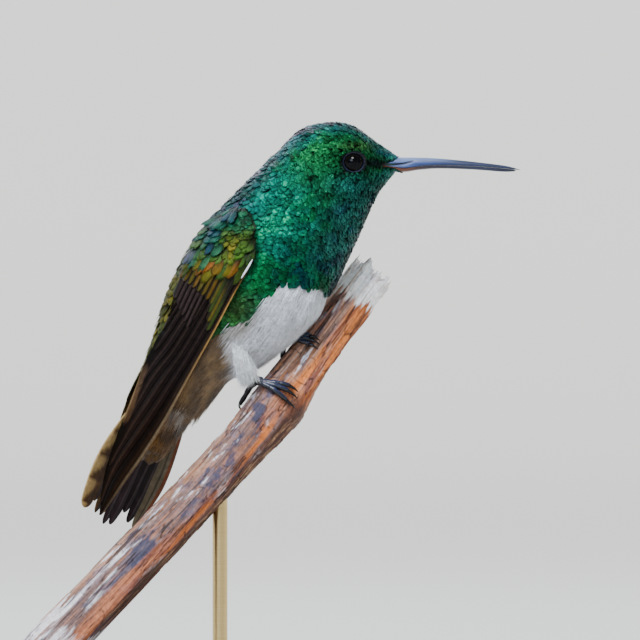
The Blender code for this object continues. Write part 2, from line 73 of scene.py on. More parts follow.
# Leading (x, z), trailing (x, z), half-thickness, least |y|.
WING = np.array([
    (2.3, 75.9, -0.6, 76.2, 0.5, 1.0), (3.6, 72.6, -4.4, 72.9, 0.75, 1.8), (3.1, 69.2, -6.2, 69.8, 0.8, 2.4),
    (0.6, 64.9, -7.9, 66.4, 0.75, 3.0), (-2.6, 58.9, -9.7, 62.3, 0.6, 3.6), (-5.4, 53.9, -11.4, 57.6, 0.5, 4.4),
    (-8.0, 49.1, -13.3, 53.6, 0.45, 5.1), (-10.6, 44.4, -15.2, 48.6, 0.4, 5.6), (-13.3, 40.1, -17.2, 43.4, 0.35, 6.0),
    (-16.2, 36.0, -19.0, 38.2, 0.3, 6.3), (-19.5, 31.3, -20.2, 31.8, 0.27, 6.5),
])

# Axis (x, z) and radius; the branch leans away from the camera as it climbs.
BRANCH = np.array([
    (-29.2, 9.7, 3.8), (-16.8, 22.4, 3.8), (-6.2, 33.5, 3.6), (0.7, 41.2, 3.7),
    (5.6, 47.1, 4.0), (11.0, 54.4, 3.4), (19.9, 66.3, 3.45),
])
BRANCH_SLOPE, BRANCH_LEVEL, BRANCH_SIDE = 0.38, np.array((8.6, 51.0)), 1.4
GAP = 0.3
TOE_RADIUS, CLAW_TURN = 0.42, 26
FEET = {
    "right": dict(over=(5.6, 47.1), sole=(0.7, 38), front=((2.7, 88), (1.9, 92), (0.6, 100)),
                  hind=(-2.1, -18), thigh=((-0.4, -5.2, 58.2), (2.1, -3.4, 50.9))),
    "left": dict(over=(11.0, 54.4), sole=(-0.6, -16), front=((1.6, 58), (1.1, 63), (0.4, 68)),
                 hind=(-2.5, -42), thigh=((3.0, 6.0, 58.6), (6.9, 4.4, 57.6))),
}
ROD_AT, ROD_RADIUS = (-2.2, 38.0), 1.1
BASE_HEIGHT, COLLAR_HEIGHT = 5.0, 1.8


# ---- Small tools ----


def spline(table, t):
    """A table's row at each place t, on a Catmull-Rom curve through its rows."""
    last = len(table) - 1
    t = np.clip(np.asarray(t, float), 0, last)
    i = np.minimum(t.astype(int), last - 1)
    u = (t - i)[..., None]
    rows = [table[np.clip(i + k, 0, last)] for k in (-1, 0, 1, 2)]
    weights = (-u + 2 * u * u - u**3, 2 - 5 * u * u + 3 * u**3, u + 4 * u * u - 3 * u**3, u**3 - u * u)
    return sum(w * row for w, row in zip(weights, rows)) / 2


def soft(low, high, x):
    """0 below low, 1 above high, and an even S between."""
    x = np.clip((np.asarray(x, float) - low) / (high - low), 0, 1)
    return x * x * (3 - 2 * x)


def bump(x, centre, width):
    return np.exp(-(((np.asarray(x, float) - centre) / width) ** 2))


def blob(points, x, z, width, height):
    """1 at a place of the side view, and less away from it."""
    return bump(points[..., 0], x, width) * bump(points[..., 2], z, height)


def mix(a, b, share):
    share = np.asarray(share, float)[..., None]
    return np.asarray(a, float) * (1 - share) + np.asarray(b, float) * share


def layered(colour, *layers):
    """A colour with others laid over it in turn, each given with its share."""
    for tint, share in layers:
        colour = mix(colour, tint, share)
    return colour


def noise_at(points, size, seed, sample):
    points = np.asarray(points, float)
    flat = points.reshape(-1, 3) / size + seed
    return np.array([sample(Vector(p)) for p in flat.tolist()]).reshape(points.shape[:-1])


def speckle(points, size, seed):
    """Smooth noise of about -1 to 1 at points in mm, with blots about as large as size."""
    return noise_at(points, size, seed, noise.noise)


def ragged(points, size, seed):
    """As speckle, with finer noise on top of it."""
    return noise_at(points, size, seed, lambda p: noise.fractal(p, 0.9, 2.1, 5))


def unit(vectors):
    return vectors / np.maximum(np.linalg.norm(vectors, axis=-1, keepdims=True), 1e-9)


def stacked(*parts):
    """Arrays, spread to one shape, along a new last axis."""
    return np.stack(np.broadcast_arrays(*parts), -1)


def circle(count):
    """Angles evenly round a circle."""
    return np.linspace(0, 2 * math.pi, count, endpoint=False)


def beneath(b):
    """How far round the body from its top, 0, to its underside, 1, a place b is."""
    return np.abs((np.asarray(b) + 1) % 2 - 1)


class Sheet:
    """A surface over two places a and b, sampled on an even grid, and read anywhere on it or just beyond."""

    def __init__(self, low, high, points, outward, around=False):
        self.low, self.high, self.points, self.around = low, high, points, around
        self.count = np.array(points.shape[:2]) - 1
        self.along, self.across = np.gradient(points, axis=(0, 1))
        normals = unit(np.cross(self.along, self.across))
        self.turned = float(np.mean(np.sum(normals * outward, axis=-1))) < 0
        self.normals = -normals if self.turned else normals

    def read(self, a, b):
        """The points and outward normals at places a, b."""
        a, b = np.broadcast_arrays(np.asarray(a, float), np.asarray(b, float))
        if self.around:
            b = (b - self.low[1]) % (self.high[1] - self.low[1]) + self.low[1]
        pa = (a - self.low[0]) / (self.high[0] - self.low[0]) * self.count[0]
        pb = (b - self.low[1]) / (self.high[1] - self.low[1]) * self.count[1]
        ca, cb = np.clip(pa, 0, self.count[0]), np.clip(pb, 0, self.count[1])
        i, j = np.minimum(ca.astype(int), self.count[0] - 1), np.minimum(cb.astype(int), self.count[1] - 1)
        u, v = (ca - i)[..., None], (cb - j)[..., None]

        def between(grid):
            near = grid[i, j] * (1 - u) + grid[i + 1, j] * u
            return near * (1 - v) + (grid[i, j + 1] * (1 - u) + grid[i + 1, j + 1] * u) * v

        beyond = (pa - ca)[..., None] * self.along[i, j] + (pb - cb)[..., None] * self.across[i, j]
        return between(self.points) + beyond, unit(between(self.normals))

    def scale(self, a, b):
        """How many mm one unit of a, and one of b, is worth at a place."""
        step = 0.02
        return [
            np.linalg.norm(self.read(a + da, b + db)[0] - self.read(a - da, b - db)[0], axis=-1) / (2 * step)
            for da, db in ((step, 0), (0, step))
        ]


# ---- Meshes ----


def add_tint(mesh, tint):
    colours = np.ones((len(mesh.vertices), 4))
    colours[:, :3] = np.clip(np.asarray(tint, float).reshape(-1, 3), 0.0, 1.0)
    mesh.attributes.new("tint", "FLOAT_COLOR", "POINT").data.foreach_set("color", colours.ravel())


def make_mesh(name, points, polys, tint=None, flat=(), vane=None, uv=None):
    """A mesh from points in mm and arrays of faces, where the arrays numbered in flat are shaded flat."""
    mesh = bpy.data.meshes.new(name)
    points = np.asarray(points, float).reshape(-1, 3)
    mesh.vertices.add(len(points))
    mesh.vertices.foreach_set("co", (points * MM).ravel())
    loops = np.concatenate([p.ravel() for p in polys]).astype(np.int32)
    sizes = np.concatenate([np.full(len(p), p.shape[1]) for p in polys])
    mesh.loops.add(len(loops))
    mesh.loops.foreach_set("vertex_index", loops)
    mesh.polygons.add(len(sizes))
    mesh.polygons.foreach_set("loop_start", np.concatenate([[0], np.cumsum(sizes)[:-1]]).astype(np.int32))
    mesh.update(calc_edges=True)
    mesh.shade_smooth()
    if flat:
        marks = np.concatenate([np.full(len(p), k in flat) for k, p in enumerate(polys)])
        mesh.attributes.new("sharp_face", "BOOLEAN", "FACE").data.foreach_set("value", marks)
    if tint is not None:
        add_tint(mesh, tint)
    if vane is not None:
        mesh.attributes.new("vane", "FLOAT_VECTOR", "POINT").data.foreach_set("vector", np.asarray(vane, float).ravel())
    if uv is not None:
        layer = mesh.uv_layers.new(name="OFBake")
        layer.data.foreach_set("uv", np.asarray(uv, float).reshape(-1, 2)[loops].ravel())
    return mesh


def add_object(name, data):
    made = bpy.data.objects.new(name, data)
    bpy.context.scene.collection.objects.link(made)
    return made


def place(mesh, material, slot, *nodes):
    """Puts a mesh in the scene as a piece that rides the model and stands for the nodes named."""
    piece = add_object(mesh.name, mesh)
    mesh.materials.append(material)
    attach(piece, "root")
    if nodes:
        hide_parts(*nodes)


def numbered(rows, cols):
    """The numbers of a grid's points."""
    return np.arange(rows * cols).reshape(rows, cols)


def flipped(faces, turned=True):
    """The same faces, seen from their other side where turned is set."""
    return [f[:, ::-1] if turned else f for f in faces]


def quads(grid, around=False):
    """The faces of a grid of point numbers; around joins its last column to its first."""
    if around:
        grid = np.concatenate([grid, grid[:, :1]], axis=1)
    return stacked(grid[:-1, :-1], grid[1:, :-1], grid[1:, 1:], grid[:-1, 1:]).reshape(-1, 4)


def tubes(rings):
    """Faces of a tube through an array (rings, points, 3): the sides, and an end face at each end."""
    grid = numbered(*rings.shape[:2])
    return [quads(grid, around=True), grid[:1], grid[-1:, ::-1]]


def joined(shapes):
    """One set of points, faces and tints from several, each (points, polys, tint)."""
    points, polys, tints, start = [], [], [], 0
    for spots, faces, tint in shapes:
        tints.append(np.broadcast_to(np.asarray(tint, float), np.shape(spots)).reshape(-1, 3))
        spots = np.asarray(spots, float).reshape(-1, 3)
        points.append(spots)
        polys += [np.asarray(f) + start for f in faces]
        start += len(spots)
    return np.concatenate(points), polys, np.concatenate(tints)


# ---- Surfaces that the plumage lies on ----


def body_sheet():
    """The body's surface: a is the station, and b runs from -1 beneath, over the right side to 0 on top, to 1."""
    rings = []
    angle = np.linspace(0, math.pi, 241)
    up = np.sign(np.cos(angle)) * np.abs(np.cos(angle)) ** (2 / SQUARENESS)
    out = np.abs(np.sin(angle)) ** (2 / SQUARENESS)
    for dx, dz, vx, vz, half in spline(BODY, np.linspace(0, 10, 321)):
        side = stacked((dx + vx + (dx - vx) * up) / 2, half * out, (dz + vz + (dz - vz) * up) / 2)
        arc = np.concatenate([[0], np.cumsum(np.linalg.norm(np.diff(side, axis=0), axis=1))])
        even = np.linspace(0, arc[-1], 61)
        left = stacked(*(np.interp(even, arc, row) for row in side.T))
        rings.append(np.concatenate([left[:0:-1] * (1, -1, 1), left]))
    rings = np.array(rings)
    return Sheet((0, -1), (10, 1), rings, rings - rings.mean(axis=1, keepdims=True), around=True)


def flank(x, z):
    """Half the body's width at each place of its side view, or 0 outside it."""
    dx, dz, vx, vz, half = spline(BODY, np.linspace(4, 10, 241)).T
    lx, lz = vx - dx, vz - dz
    px, pz = x[..., None] - dx, z[..., None] - dz
    share = (px * lx + pz * lz) / (lx * lx + lz * lz)
    off = np.abs(px * lz - pz * lx) / np.hypot(lx, lz)
    height = np.clip(np.abs(2 * share - 1), 0, 1)
    width = half * (1 - height**SQUARENESS) ** (1 / SQUARENESS)
    return np.where((share > 0) & (share < 1) & (off < 0.25), width, 0).max(axis=-1)


def wing_sheet(sign):
    """A folded wing's outer face: a runs from its bend to its tip, and b from its leading to its trailing edge."""
    a, b = np.meshgrid(np.linspace(0, 10, 161), np.linspace(0, 1, 25), indexing="ij")
    lx, lz, tx, tz, half, least = np.moveaxis(spline(WING, a), -1, 0)
    x, z = lx + (tx - lx) * b, lz + (tz - lz) * b
    rest = np.maximum(flank(x, z) + GAP, least + 0.5 * np.sin(math.pi * b))
    for _ in range(3):
        padded = np.pad(rest, ((4, 4), (0, 0)), mode="edge")
        rest = np.maximum(rest, sum(padded[k:k + len(rest)] for k in range(9)) / 9)
    y = rest + 2 * half * (0.45 + 0.55 * np.sin(math.pi * np.clip(b, 0.08, 0.92)))
    return Sheet((0, 0), (10, 1), stacked(x, sign * y, z), np.array((0, sign, 0)))


def tail_axes():
    along = np.array((-math.cos(TAIL_DIP), 0, -math.sin(TAIL_DIP)))
    down = np.array((math.sin(TAIL_DIP), 0, -math.cos(TAIL_DIP)))
    across = math.cos(TAIL_ROLL) * np.array((0, 1, 0)) + math.sin(TAIL_ROLL) * down
    return along, across, np.cross(across, along)


ALONG, ACROSS, UP = tail_axes()
BODY_SKIN = body_sheet()
WINGS = {"right": wing_sheet(-1), "left": wing_sheet(1)}


def tail_point(distance, side, height):
    """A point of the tail: mm along it, mm to the bird's left, and mm above its plane."""
    return TAIL_ROOT + distance[..., None] * ALONG + side[..., None] * ACROSS + height[..., None] * UP


def nearest_places(points):
    """The body's places (a, b) nearest to points, for what lies close over it."""
    grid = BODY_SKIN.points[::2, ::2]
    tree = KDTree(grid.shape[0] * grid.shape[1])
    for i, spot in enumerate(grid.reshape(-1, 3).tolist()):
        tree.insert(spot, i)
    tree.balance()
    index = np.array([tree.find(spot)[1] for spot in np.asarray(points).reshape(-1, 3).tolist()])
    a, b = index // grid.shape[1] / (grid.shape[0] - 1) * 10, index % grid.shape[1] / (grid.shape[1] - 1) * 2 - 1
    return a.reshape(points.shape[:-1]), b.reshape(points.shape[:-1])


# ---- Feathers ----

# Half the side of a feather's patch on its bake map, and the map's margin.
PATCH, MAP_MARGIN = 0.0015, 0.005
# A small feather's width from its root to its tip.
OUTLINE = np.array([(0.0, 0.3), (0.3, 0.75), (0.6, 0.98), (0.8, 1.0), (0.92, 0.93), (1.0, 0.74)])


def vane_faces(rows, cols, full):
    """Faces of one feather, of a grid of points: its top, then its underside, closed round the edge."""
    grid = numbered(rows, cols)
    if full:
        under = grid.copy()
        under[1:-1, 1:-1] = rows * cols + numbered(rows - 2, cols - 2)
        return [quads(grid), quads(under)[:, ::-1]]
    return [quads(grid), quads(grid[:, [0, -1]])[:, ::-1], grid[:1], grid[-1:, ::-1]]


def feather_mesh(name, tops, turned, tint, vane, roots, unders=None):
    """A mesh of many feathers.

    tops is (feathers, rows, columns, 3), and unders is the same, or None for flat undersides.
    """
    count, rows, cols = tops.shape[:3]
    full = unders is not None
    layers = np.broadcast_arrays(tops, tint, vane)
    patch = stacked(np.linspace(-PATCH, PATCH, cols), np.linspace(-PATCH, PATCH, rows)[:, None])
    uv = patch.reshape(-1, 2)
    parts = [layer.reshape(count, -1, 3) for layer in layers]
    if full:
        inner = [layer[:, 1:-1, 1:-1].reshape(count, -1, 3) for layer in (unders, *layers[1:])]
        parts = [np.concatenate(pair, axis=1) for pair in zip(parts, inner)]
        uv = np.concatenate([uv, patch[1:-1, 1:-1].reshape(-1, 2)])
    points, tint, vane = parts
    polys = repeated(flipped(vane_faces(rows, cols, full), turned), count, points.shape[1])
    uv = roots[:, None, :] * (1 - 2 * MAP_MARGIN) + MAP_MARGIN + uv
    return make_mesh(name, points, polys, tint, () if full else (1, 2, 3), vane, uv)


def repeated(faces, count, points):
    """The faces of one feather for each of many, which have so many points each."""
    return [(np.arange(count)[:, None, None] * points + f).reshape(-1, f.shape[1]) for f in faces]


def plumes(sheet, a, b, length, width, low, high, turn, camber, rows=7, cols=7):
    """Feathers with their roots at places a, b, lying along the sheet; low and high are the heights of root and tip."""
    def each(values):
        return np.broadcast_to(values, np.shape(a))[:, None, None]

    def chance(size, spread=1):
        return size * rng.normal(size=(len(a), 1, spread))

    per_a, per_b = sheet.scale(a, b)
    s = np.linspace(0, 1, rows) ** 0.9
    down = s[:, None]
    w = np.sin(np.linspace(-math.pi / 2, math.pi / 2, cols))
    half = np.interp(s, OUTLINE[:, 0], OUTLINE[:, 1])[:, None] / 2
    x = each(width) * half * w * (1 + chance(0.10))
    fringe = chance(0.03, cols) * down**4
    arc = each(width) * 0.42 * (1 - np.sqrt(1 - 0.96 * w**2)) * down**2
    y = each(length) * (down + fringe) * (1 + chance(0.08)) - arc
    turn = each(turn)
    x, y = x * np.cos(turn) + y * np.sin(turn), y * np.cos(turn) - x * np.sin(turn)
    spots, normals = sheet.read(each(a) + y / each(per_a), each(b) + x / each(per_b))
    height = each(low) + (each(high) - each(low)) * down**0.8 + 0.05 * w * down * chance(1)
    tops = spots + normals * (height + each(camber) * (1 - w**2) * (2 * half))[..., None]
    vane = stacked(x, y, each(rng.random(len(a))))
    return tops, vane, s, w


def rows_of(sheet, a_low, a_high, step, spacing, b_low=-1.0, b_high=1.0, jitter=0.12):
    """Places of feathers in rows along a, in quincunx. step and spacing are mm, and may vary with a."""
    places_a, places_b, a, row = [], [], a_low, 0
    while a < a_high:
        gap = step(a) if callable(step) else step
        wide = spacing(a) if callable(spacing) else spacing
        per_a = float(np.mean([sheet.scale(np.array([a]), np.array([b]))[0][0] for b in (b_low / 2, b_high / 2)]))
        per_b = float(sheet.scale(np.full(40, a), np.linspace(b_low, b_high, 40))[1].mean())
        count = max(int((b_high - b_low) * per_b / wide), 3)
        b = b_low + (np.arange(count) + 0.5 * (row % 2) + 0.25) / count * (b_high - b_low)
        places_b.append(b + rng.normal(0, jitter, count) * (b_high - b_low) / count)
        places_a.append(a + rng.normal(0, jitter, count) * gap / per_a)
        a, row = a + gap / per_a, row + 1
    return np.concatenate(places_a), np.concatenate(places_b)


# ---- Colours ----

GRASS, TEAL, EMERALD, MINT = (0.004, 0.135, 0.036), (0.001, 0.125, 0.088), (0.0, 0.112, 0.044), (0.001, 0.23, 0.125)
BLUE, VIOLET_SHEEN, DEEP, INK = (0.006, 0.085, 0.125), (0.07, 0.06, 0.15), (0.0, 0.042, 0.060), (0.003, 0.008, 0.010)
GOLD, OLIVE, COPPER = (0.13, 0.105, 0.002), (0.050, 0.065, 0.005), (0.19, 0.062, 0.001)
WHITE, GREY_DOWN_AND_SHADE = (0.86, 0.89, 0.96), (0.52, 0.50, 0.50)
BUFF, BROWN_DOWN = (0.27, 0.16, 0.065), (0.105, 0.062, 0.028)
FLIGHT, FLIGHT_PURPLE = (0.0050, 0.0022, 0.0014), (0.0100, 0.0050, 0.0060)
TAIL_DARK, TAIL_OLIVE = (0.0060, 0.0034, 0.0045), (0.135, 0.110, 0.070)


def body_colour(points, a, b):
    """The plumage's colour at points of the body, whose places are a and b."""
    return np.clip(mix(green_colour(points, a, b), belly_colour(points), belly_share(points, a, beneath(b))), 0, 1)


def green_colour(points, a, b):
    """The colour of the head, neck, breast, back and flanks."""
    under = beneath(b)
    blot, fine, hue = speckle(points, 3.0, 11.0), speckle(points, 1.2, 47.0), speckle(points, 1.7, 5.0)
    front = 1 - soft(0.7, 1.7, a)
    nape = (1 - soft(0.10 + 0.14 * front, 0.24 + 0.20 * front, under)) * (1 - soft(3.4, 4.4, a))
    cheek = soft(0.17, 0.30, under + 0.06 * blot) * (1 - soft(0.50, 0.66, under + 0.08 * blot))
    throat = soft(0.55, 0.74, under + 0.08 * blot) * (1 - soft(5.4, 6.6, a))
    # Painted shade darkens the throat's underside near its middle line.
    chin_shade = soft(0.84, 0.95, under) * (1 - soft(7.0, 7.8, a)) * soft(0.3, 1.2, a)
    throat_line = bump(under, 1.0, 0.07) * soft(0.8, 2.0, a) * (1 - soft(4.6, 5.6, a)) * soft(-0.2, 0.3, fine)
    # Marks the head's top edge, where a lilac-grey painted sheen goes.
    crown = (1 - soft(0.05, 0.17, under + 0.05 * fine)) * soft(0.3, 1.2, a) * (1 - soft(4.2, 5.4, a))
    breast = mix(mix(EMERALD, (0.0, 0.080, 0.062), soft(-0.15, 0.3, blot)), DEEP,
                 0.85 * soft(0.05, 0.45, hue + 0.4 * (under - 0.6)))
    # The mantle turns violet towards the back's top edge as painted sheen.
    mantle = mix(mix(TEAL, BLUE, soft(-0.3, 0.3, hue)), VIOLET_SHEEN, 0.8 * soft(0.1, 0.5, fine + 1.0 * (0.12 - under)))
    colour = layered(
        mix(TEAL, GRASS, soft(-0.1, 0.35, hue)),
        ((0.009, 0.135, 0.040), cheek * (1 - soft(3.0, 4.4, a))),
        (mix((0.018, 0.180, 0.155), (0.008, 0.100, 0.125), soft(-0.2, 0.3, fine)), nape),
        ((0.013, 0.170, 0.145), 0.85 * blob(points, 17.0, 79.9, 3.4, 1.8)),
        (mix((0.016, 0.128, 0.104), (0.013, 0.080, 0.098), soft(-0.05, 0.4, hue)), throat),
        (breast, soft(4.2, 5.2, a) * soft(0.34, 0.5, under)),
        (INK, 0.55 * chin_shade),
        ((0.06, 0.065, 0.10), 0.55 * throat_line),
        (0.5 * mantle, soft(3.4, 4.8, a) * (1 - soft(0.26, 0.40, under))),
        (MINT, 0.7 * blob(points, 6.4, 75.2, 3.4, 3.6) * soft(0.25, 0.35, under)),
        ((0.0, 0.18, 0.120), 0.8 * blob(points, 5.0, 79.0, 5.0, 3.4) * soft(0.15, 0.25, under)),
        ((0.003, 0.15, 0.036), 0.75 * blob(points, 3.4, 66.0, 3.4, 3.6) * soft(0.3, 0.4, under)),
        # The crown's top edge: a blue-grey to lilac-grey painted sheen.
        (mix((0.09, 0.21, 0.24), (0.25, 0.205, 0.27), soft(-0.1, 0.35, hue)), 0.85 * crown),
        (mix(OLIVE, GOLD, soft(-0.3, 0.4, fine)), soft(6.0, 7.2, a) * (1 - soft(0.36, 0.5, under))),
        (mix((0.003, 0.12, 0.030), (0.040, 0.038, 0.014), soft(7.2, 8.0, a + 0.4 * blot)),
         soft(6.9, 7.7, a) * soft(0.4, 0.5, under)),
        ((0.030, 0.066, 0.010), 0.85 * blob(points, 0.6, 61.8, 3.6, 3.0) * soft(0.35, 0.45, under)),
        # The brow's light streak, and the dark lores.
        ((0.070, 0.25, 0.070), 0.85 * blob(points, 18.2, 85.5, 2.2, 0.55)),
        (INK, np.clip(1.6 * blob(points, 20.7, 82.95, 1.9, 0.62), 0, 0.95)),
    )
    lie = speckle(stacked(np.asarray(a) * 2.2, under * 34, 0), 1.0, 13.0)
    streak = 0.6 * soft(0.05, 0.45, lie) * (1 - 0.5 * soft(3.6, 5.0, a))
    return np.clip(colour * (1 + 0.5 * fine + 0.3 * blot - streak)[..., None], 0, 1)


def belly_share(points, a, under):
    """1 where the down of the belly and vent shows in place of the green, and 0 elsewhere."""
    return soft(-0.08, 0.12, below_edge(points)) * soft(0.42, 0.50, under) * soft(5.0, 5.4, a)


def below_edge(points):
    """How many mm a point lies below the ragged line between the green and the white."""
    x = points[..., 0]
    edge = np.interp(x, (-12, -0.8, 2.9, 4.4, 5.6, 7.2, 11.5, 13.4), (56.2, 59.2, 60.8, 62.4, 64.2, 65.0, 64.8, 63.4))
    loose = 1 + 0.8 * soft(6.5, 4.0, x)
    return edge + loose * (0.6 * speckle(points, 1.6, 3.0) + 0.4 * speckle(points, 0.7, 8.0)) - points[..., 2]


def belly_colour(points):
    x, z = points[..., 0], points[..., 2]
    mottle = speckle(points, 2.4, 29.0)
    rim = bump(below_edge(points), 0.2, 0.9) * (0.35 + 0.65 * soft(6.5, 3.0, x))
    vent = soft(2.6, 0.6, x + 0.5 * np.maximum(z - 55, 0) + 0.7 * mottle)
    return layered(
        WHITE,
        # Grey mottles of the down, and grey towards the lower belly as painted shade.
        (GREY_DOWN_AND_SHADE, 0.45 * soft(0.0, 0.6, mottle) + 0.45 * soft(-2.0, -7.0, z - 66)),
        # Warm grey over the thigh's top, where the belly meets the leg, as painted shade.
        ((0.40, 0.36, 0.34), 0.6 * blob(points, 2.2, 60.6, 2.6, 1.3)),
        ((0.26, 0.24, 0.20), 0.75 * rim * soft(-0.5, 0.3, mottle)),
        (mix(BROWN_DOWN, BUFF, soft(-0.2, 0.5, mottle)), vent),
    )


def scaled(colour, s, w, rim, root):
    """A feather's painted shading: painted shade at its root, where other feathers cover it, a painted highlight on its
    disc and painted shade at its rim.
    """
    s, w = np.asarray(s)[:, None], np.asarray(w)[None, :]
    painted_shading = 1.06 + 0.18 * bump(s, 0.82, 0.2) - root * (1 - soft(0.35, 0.75, s))
    painted_shading = painted_shading - rim * soft(0.80, 1.0, np.hypot(w * 0.9, s * 0.75))
    return colour[:, None, None, :] * np.clip(painted_shading, 0.05, 1.25)[None, ..., None]


# ---- Materials ----


class Surface:
    """A material being made: its base colour comes from the mesh's tint, with noise over it."""

    def __init__(self, name, rough, specular=0.5, **values):
        self.material = bpy.data.materials.new(name)
        self.material.use_nodes = True
        self.nodes, self.links = self.material.node_tree.nodes, self.material.node_tree.links
        self.shader = self.nodes["Principled BSDF"].inputs
        self.shader["Roughness"].default_value = rough
        self.shader["Specular IOR Level"].default_value = specular
        self.shader["Coat Roughness"].default_value = 0.08
        for socket, value in values.items():
            self.shader[socket.replace("_", " ")].default_value = value

    def colour_from(self, output):
        self.links.new(output, self.shader["Base Color"])

    def attribute(self, name, output):
        node = self.nodes.new("ShaderNodeAttribute")
        node.attribute_name = name
        return node.outputs[output]

    def tint(self):
        return self.attribute("tint", "Color")

    def calculate(self, kind, *values):
        """A Math node with its values linked or set."""
        node = self.nodes.new("ShaderNodeMath")
        node.operation = kind
        for socket, value in zip(node.inputs, values):
            if isinstance(value, (int, float)):
                socket.default_value = value
            else:
                self.links.new(value, socket)
        return node.outputs[0]

    def noise(self, size, detail=3.0, stretch=(1, 1, 1)):
        """Noise over the object with blots of about size mm, as a factor of 0 to 1."""
        mapping = self.nodes.new("ShaderNodeMapping")
        mapping.inputs["Scale"].default_value = [k / (size * MM) for k in stretch]
        self.links.new(self.nodes.new("ShaderNodeTexCoord").outputs["Object"], mapping.inputs["Vector"])
        texture = self.nodes.new("ShaderNodeTexNoise")
        texture.inputs["Scale"].default_value = 1.0
        texture.inputs["Detail"].default_value = detail
        self.links.new(mapping.outputs[0], texture.inputs["Vector"])
        return texture.outputs["Fac"]

    def shaded(self, colour, factor, low, high):
        """The colour multiplied by a value that runs from low to high as the factor goes from 0 to 1."""
        ranged = self.nodes.new("ShaderNodeMapRange")
        for socket, value in (("From Min", 0.3), ("From Max", 0.7), ("To Min", low), ("To Max", high)):
            ranged.inputs[socket].default_value = value
        self.links.new(factor, ranged.inputs["Value"])
        scale = self.nodes.new("ShaderNodeVectorMath")
        scale.operation = "SCALE"
        self.links.new(colour, scale.inputs[0])
        self.links.new(ranged.outputs[0], scale.inputs["Scale"])
        return scale.outputs[0]

    def ramp(self, factor, *stops):
        """A colour that goes from one stop to the next as the factor does, each (place, colour)."""
        node = self.nodes.new("ShaderNodeValToRGB")
        for element, (position, colour) in zip(node.color_ramp.elements, stops):
            element.position, element.color = position, (*colour, 1)
        self.links.new(factor, node.inputs[0])
        return node.outputs[0]

    def relief(self, height, strength, distance):
        node = self.nodes.new("ShaderNodeBump")
        node.inputs["Strength"].default_value = strength
        node.inputs["Distance"].default_value = distance * MM
        self.links.new(height, node.inputs["Height"])
        self.links.new(node.outputs[0], self.shader["Normal"])


def grained(name, rough, specular, grain, shades, relief=None):
    """A material of the mesh's tint, lighter and darker by a noise (size, detail, stretch) that may be raised too."""
    surface = Surface(name, rough, specular)
    height = surface.noise(*grain)
    surface.colour_from(surface.shaded(surface.tint(), height, *shades))
    if relief:
        surface.relief(height, *relief)
    return surface.material


def feather_material(name, pitch, rough, metal, depth=0.3, slant=1.0, variation=0.25, sheen=0.0, specular=0.2):
    """Plumage: the tint, with barbs that slant from each feather's shaft, pitch mm apart."""
    surface = Surface(name, rough, specular, Metallic=metal, Sheen_Weight=sheen)
    split = surface.nodes.new("ShaderNodeSeparateXYZ")
    surface.links.new(surface.attribute("vane", "Vector"), split.inputs[0])
    aside = surface.calculate("MULTIPLY", surface.calculate("ABSOLUTE", split.outputs[0]), slant)
    run = surface.calculate("SUBTRACT", split.outputs[1], aside)
    wave = surface.calculate("SINE", surface.calculate("MULTIPLY", run, 2 * math.pi / pitch))
    height = surface.calculate("MULTIPLY_ADD", wave, 0.5, 0.5)
    colour = surface.shaded(surface.tint(), height, 1 - variation, 1 + variation * 0.6)
    surface.colour_from(surface.shaded(colour, surface.noise(0.7), 0.8, 1.2))
    surface.relief(height, depth, 0.05)
    return surface.material


# ---- Skin ----

SKIN_DEPTH, SKIN_CELL = 0.62, 0.36
FLESH = ("head", "neck", "trunk", "rump", "thigh_right", "thigh_left", "tail_coverts_under", "tail_coverts_upper")


def limb_frame(along):
    """Two directions across a limb that runs along the one given."""
    across = unit(np.cross(along, (0.3, 1, 0.2)))
    return across, np.cross(along, across)


def limb_rings(points, radii, sides=24):
    """Rings round a limb through points, with a radius at each."""
    points = np.asarray(points, float)
    across, other = limb_frame(unit(np.gradient(points, axis=0)))
    angle = circle(sides)[None, :, None]
    ring = np.cos(angle) * across[:, None] + np.sin(angle) * other[:, None]
    return points[:, None] + np.asarray(radii, float).reshape(len(points), -1, 1) * ring


def wedge_rings(side, shift, rows):
    """The rump's thick feathering over or under the tail, as rings."""
    distance, half_height, half_width = np.array(rows).T[:, :, None]
    angle = circle(32)[None]
    lift = side * (0.5 + half_height) + half_height * np.cos(angle)
    return tail_point(distance, shift + half_width * np.sin(angle), lift)


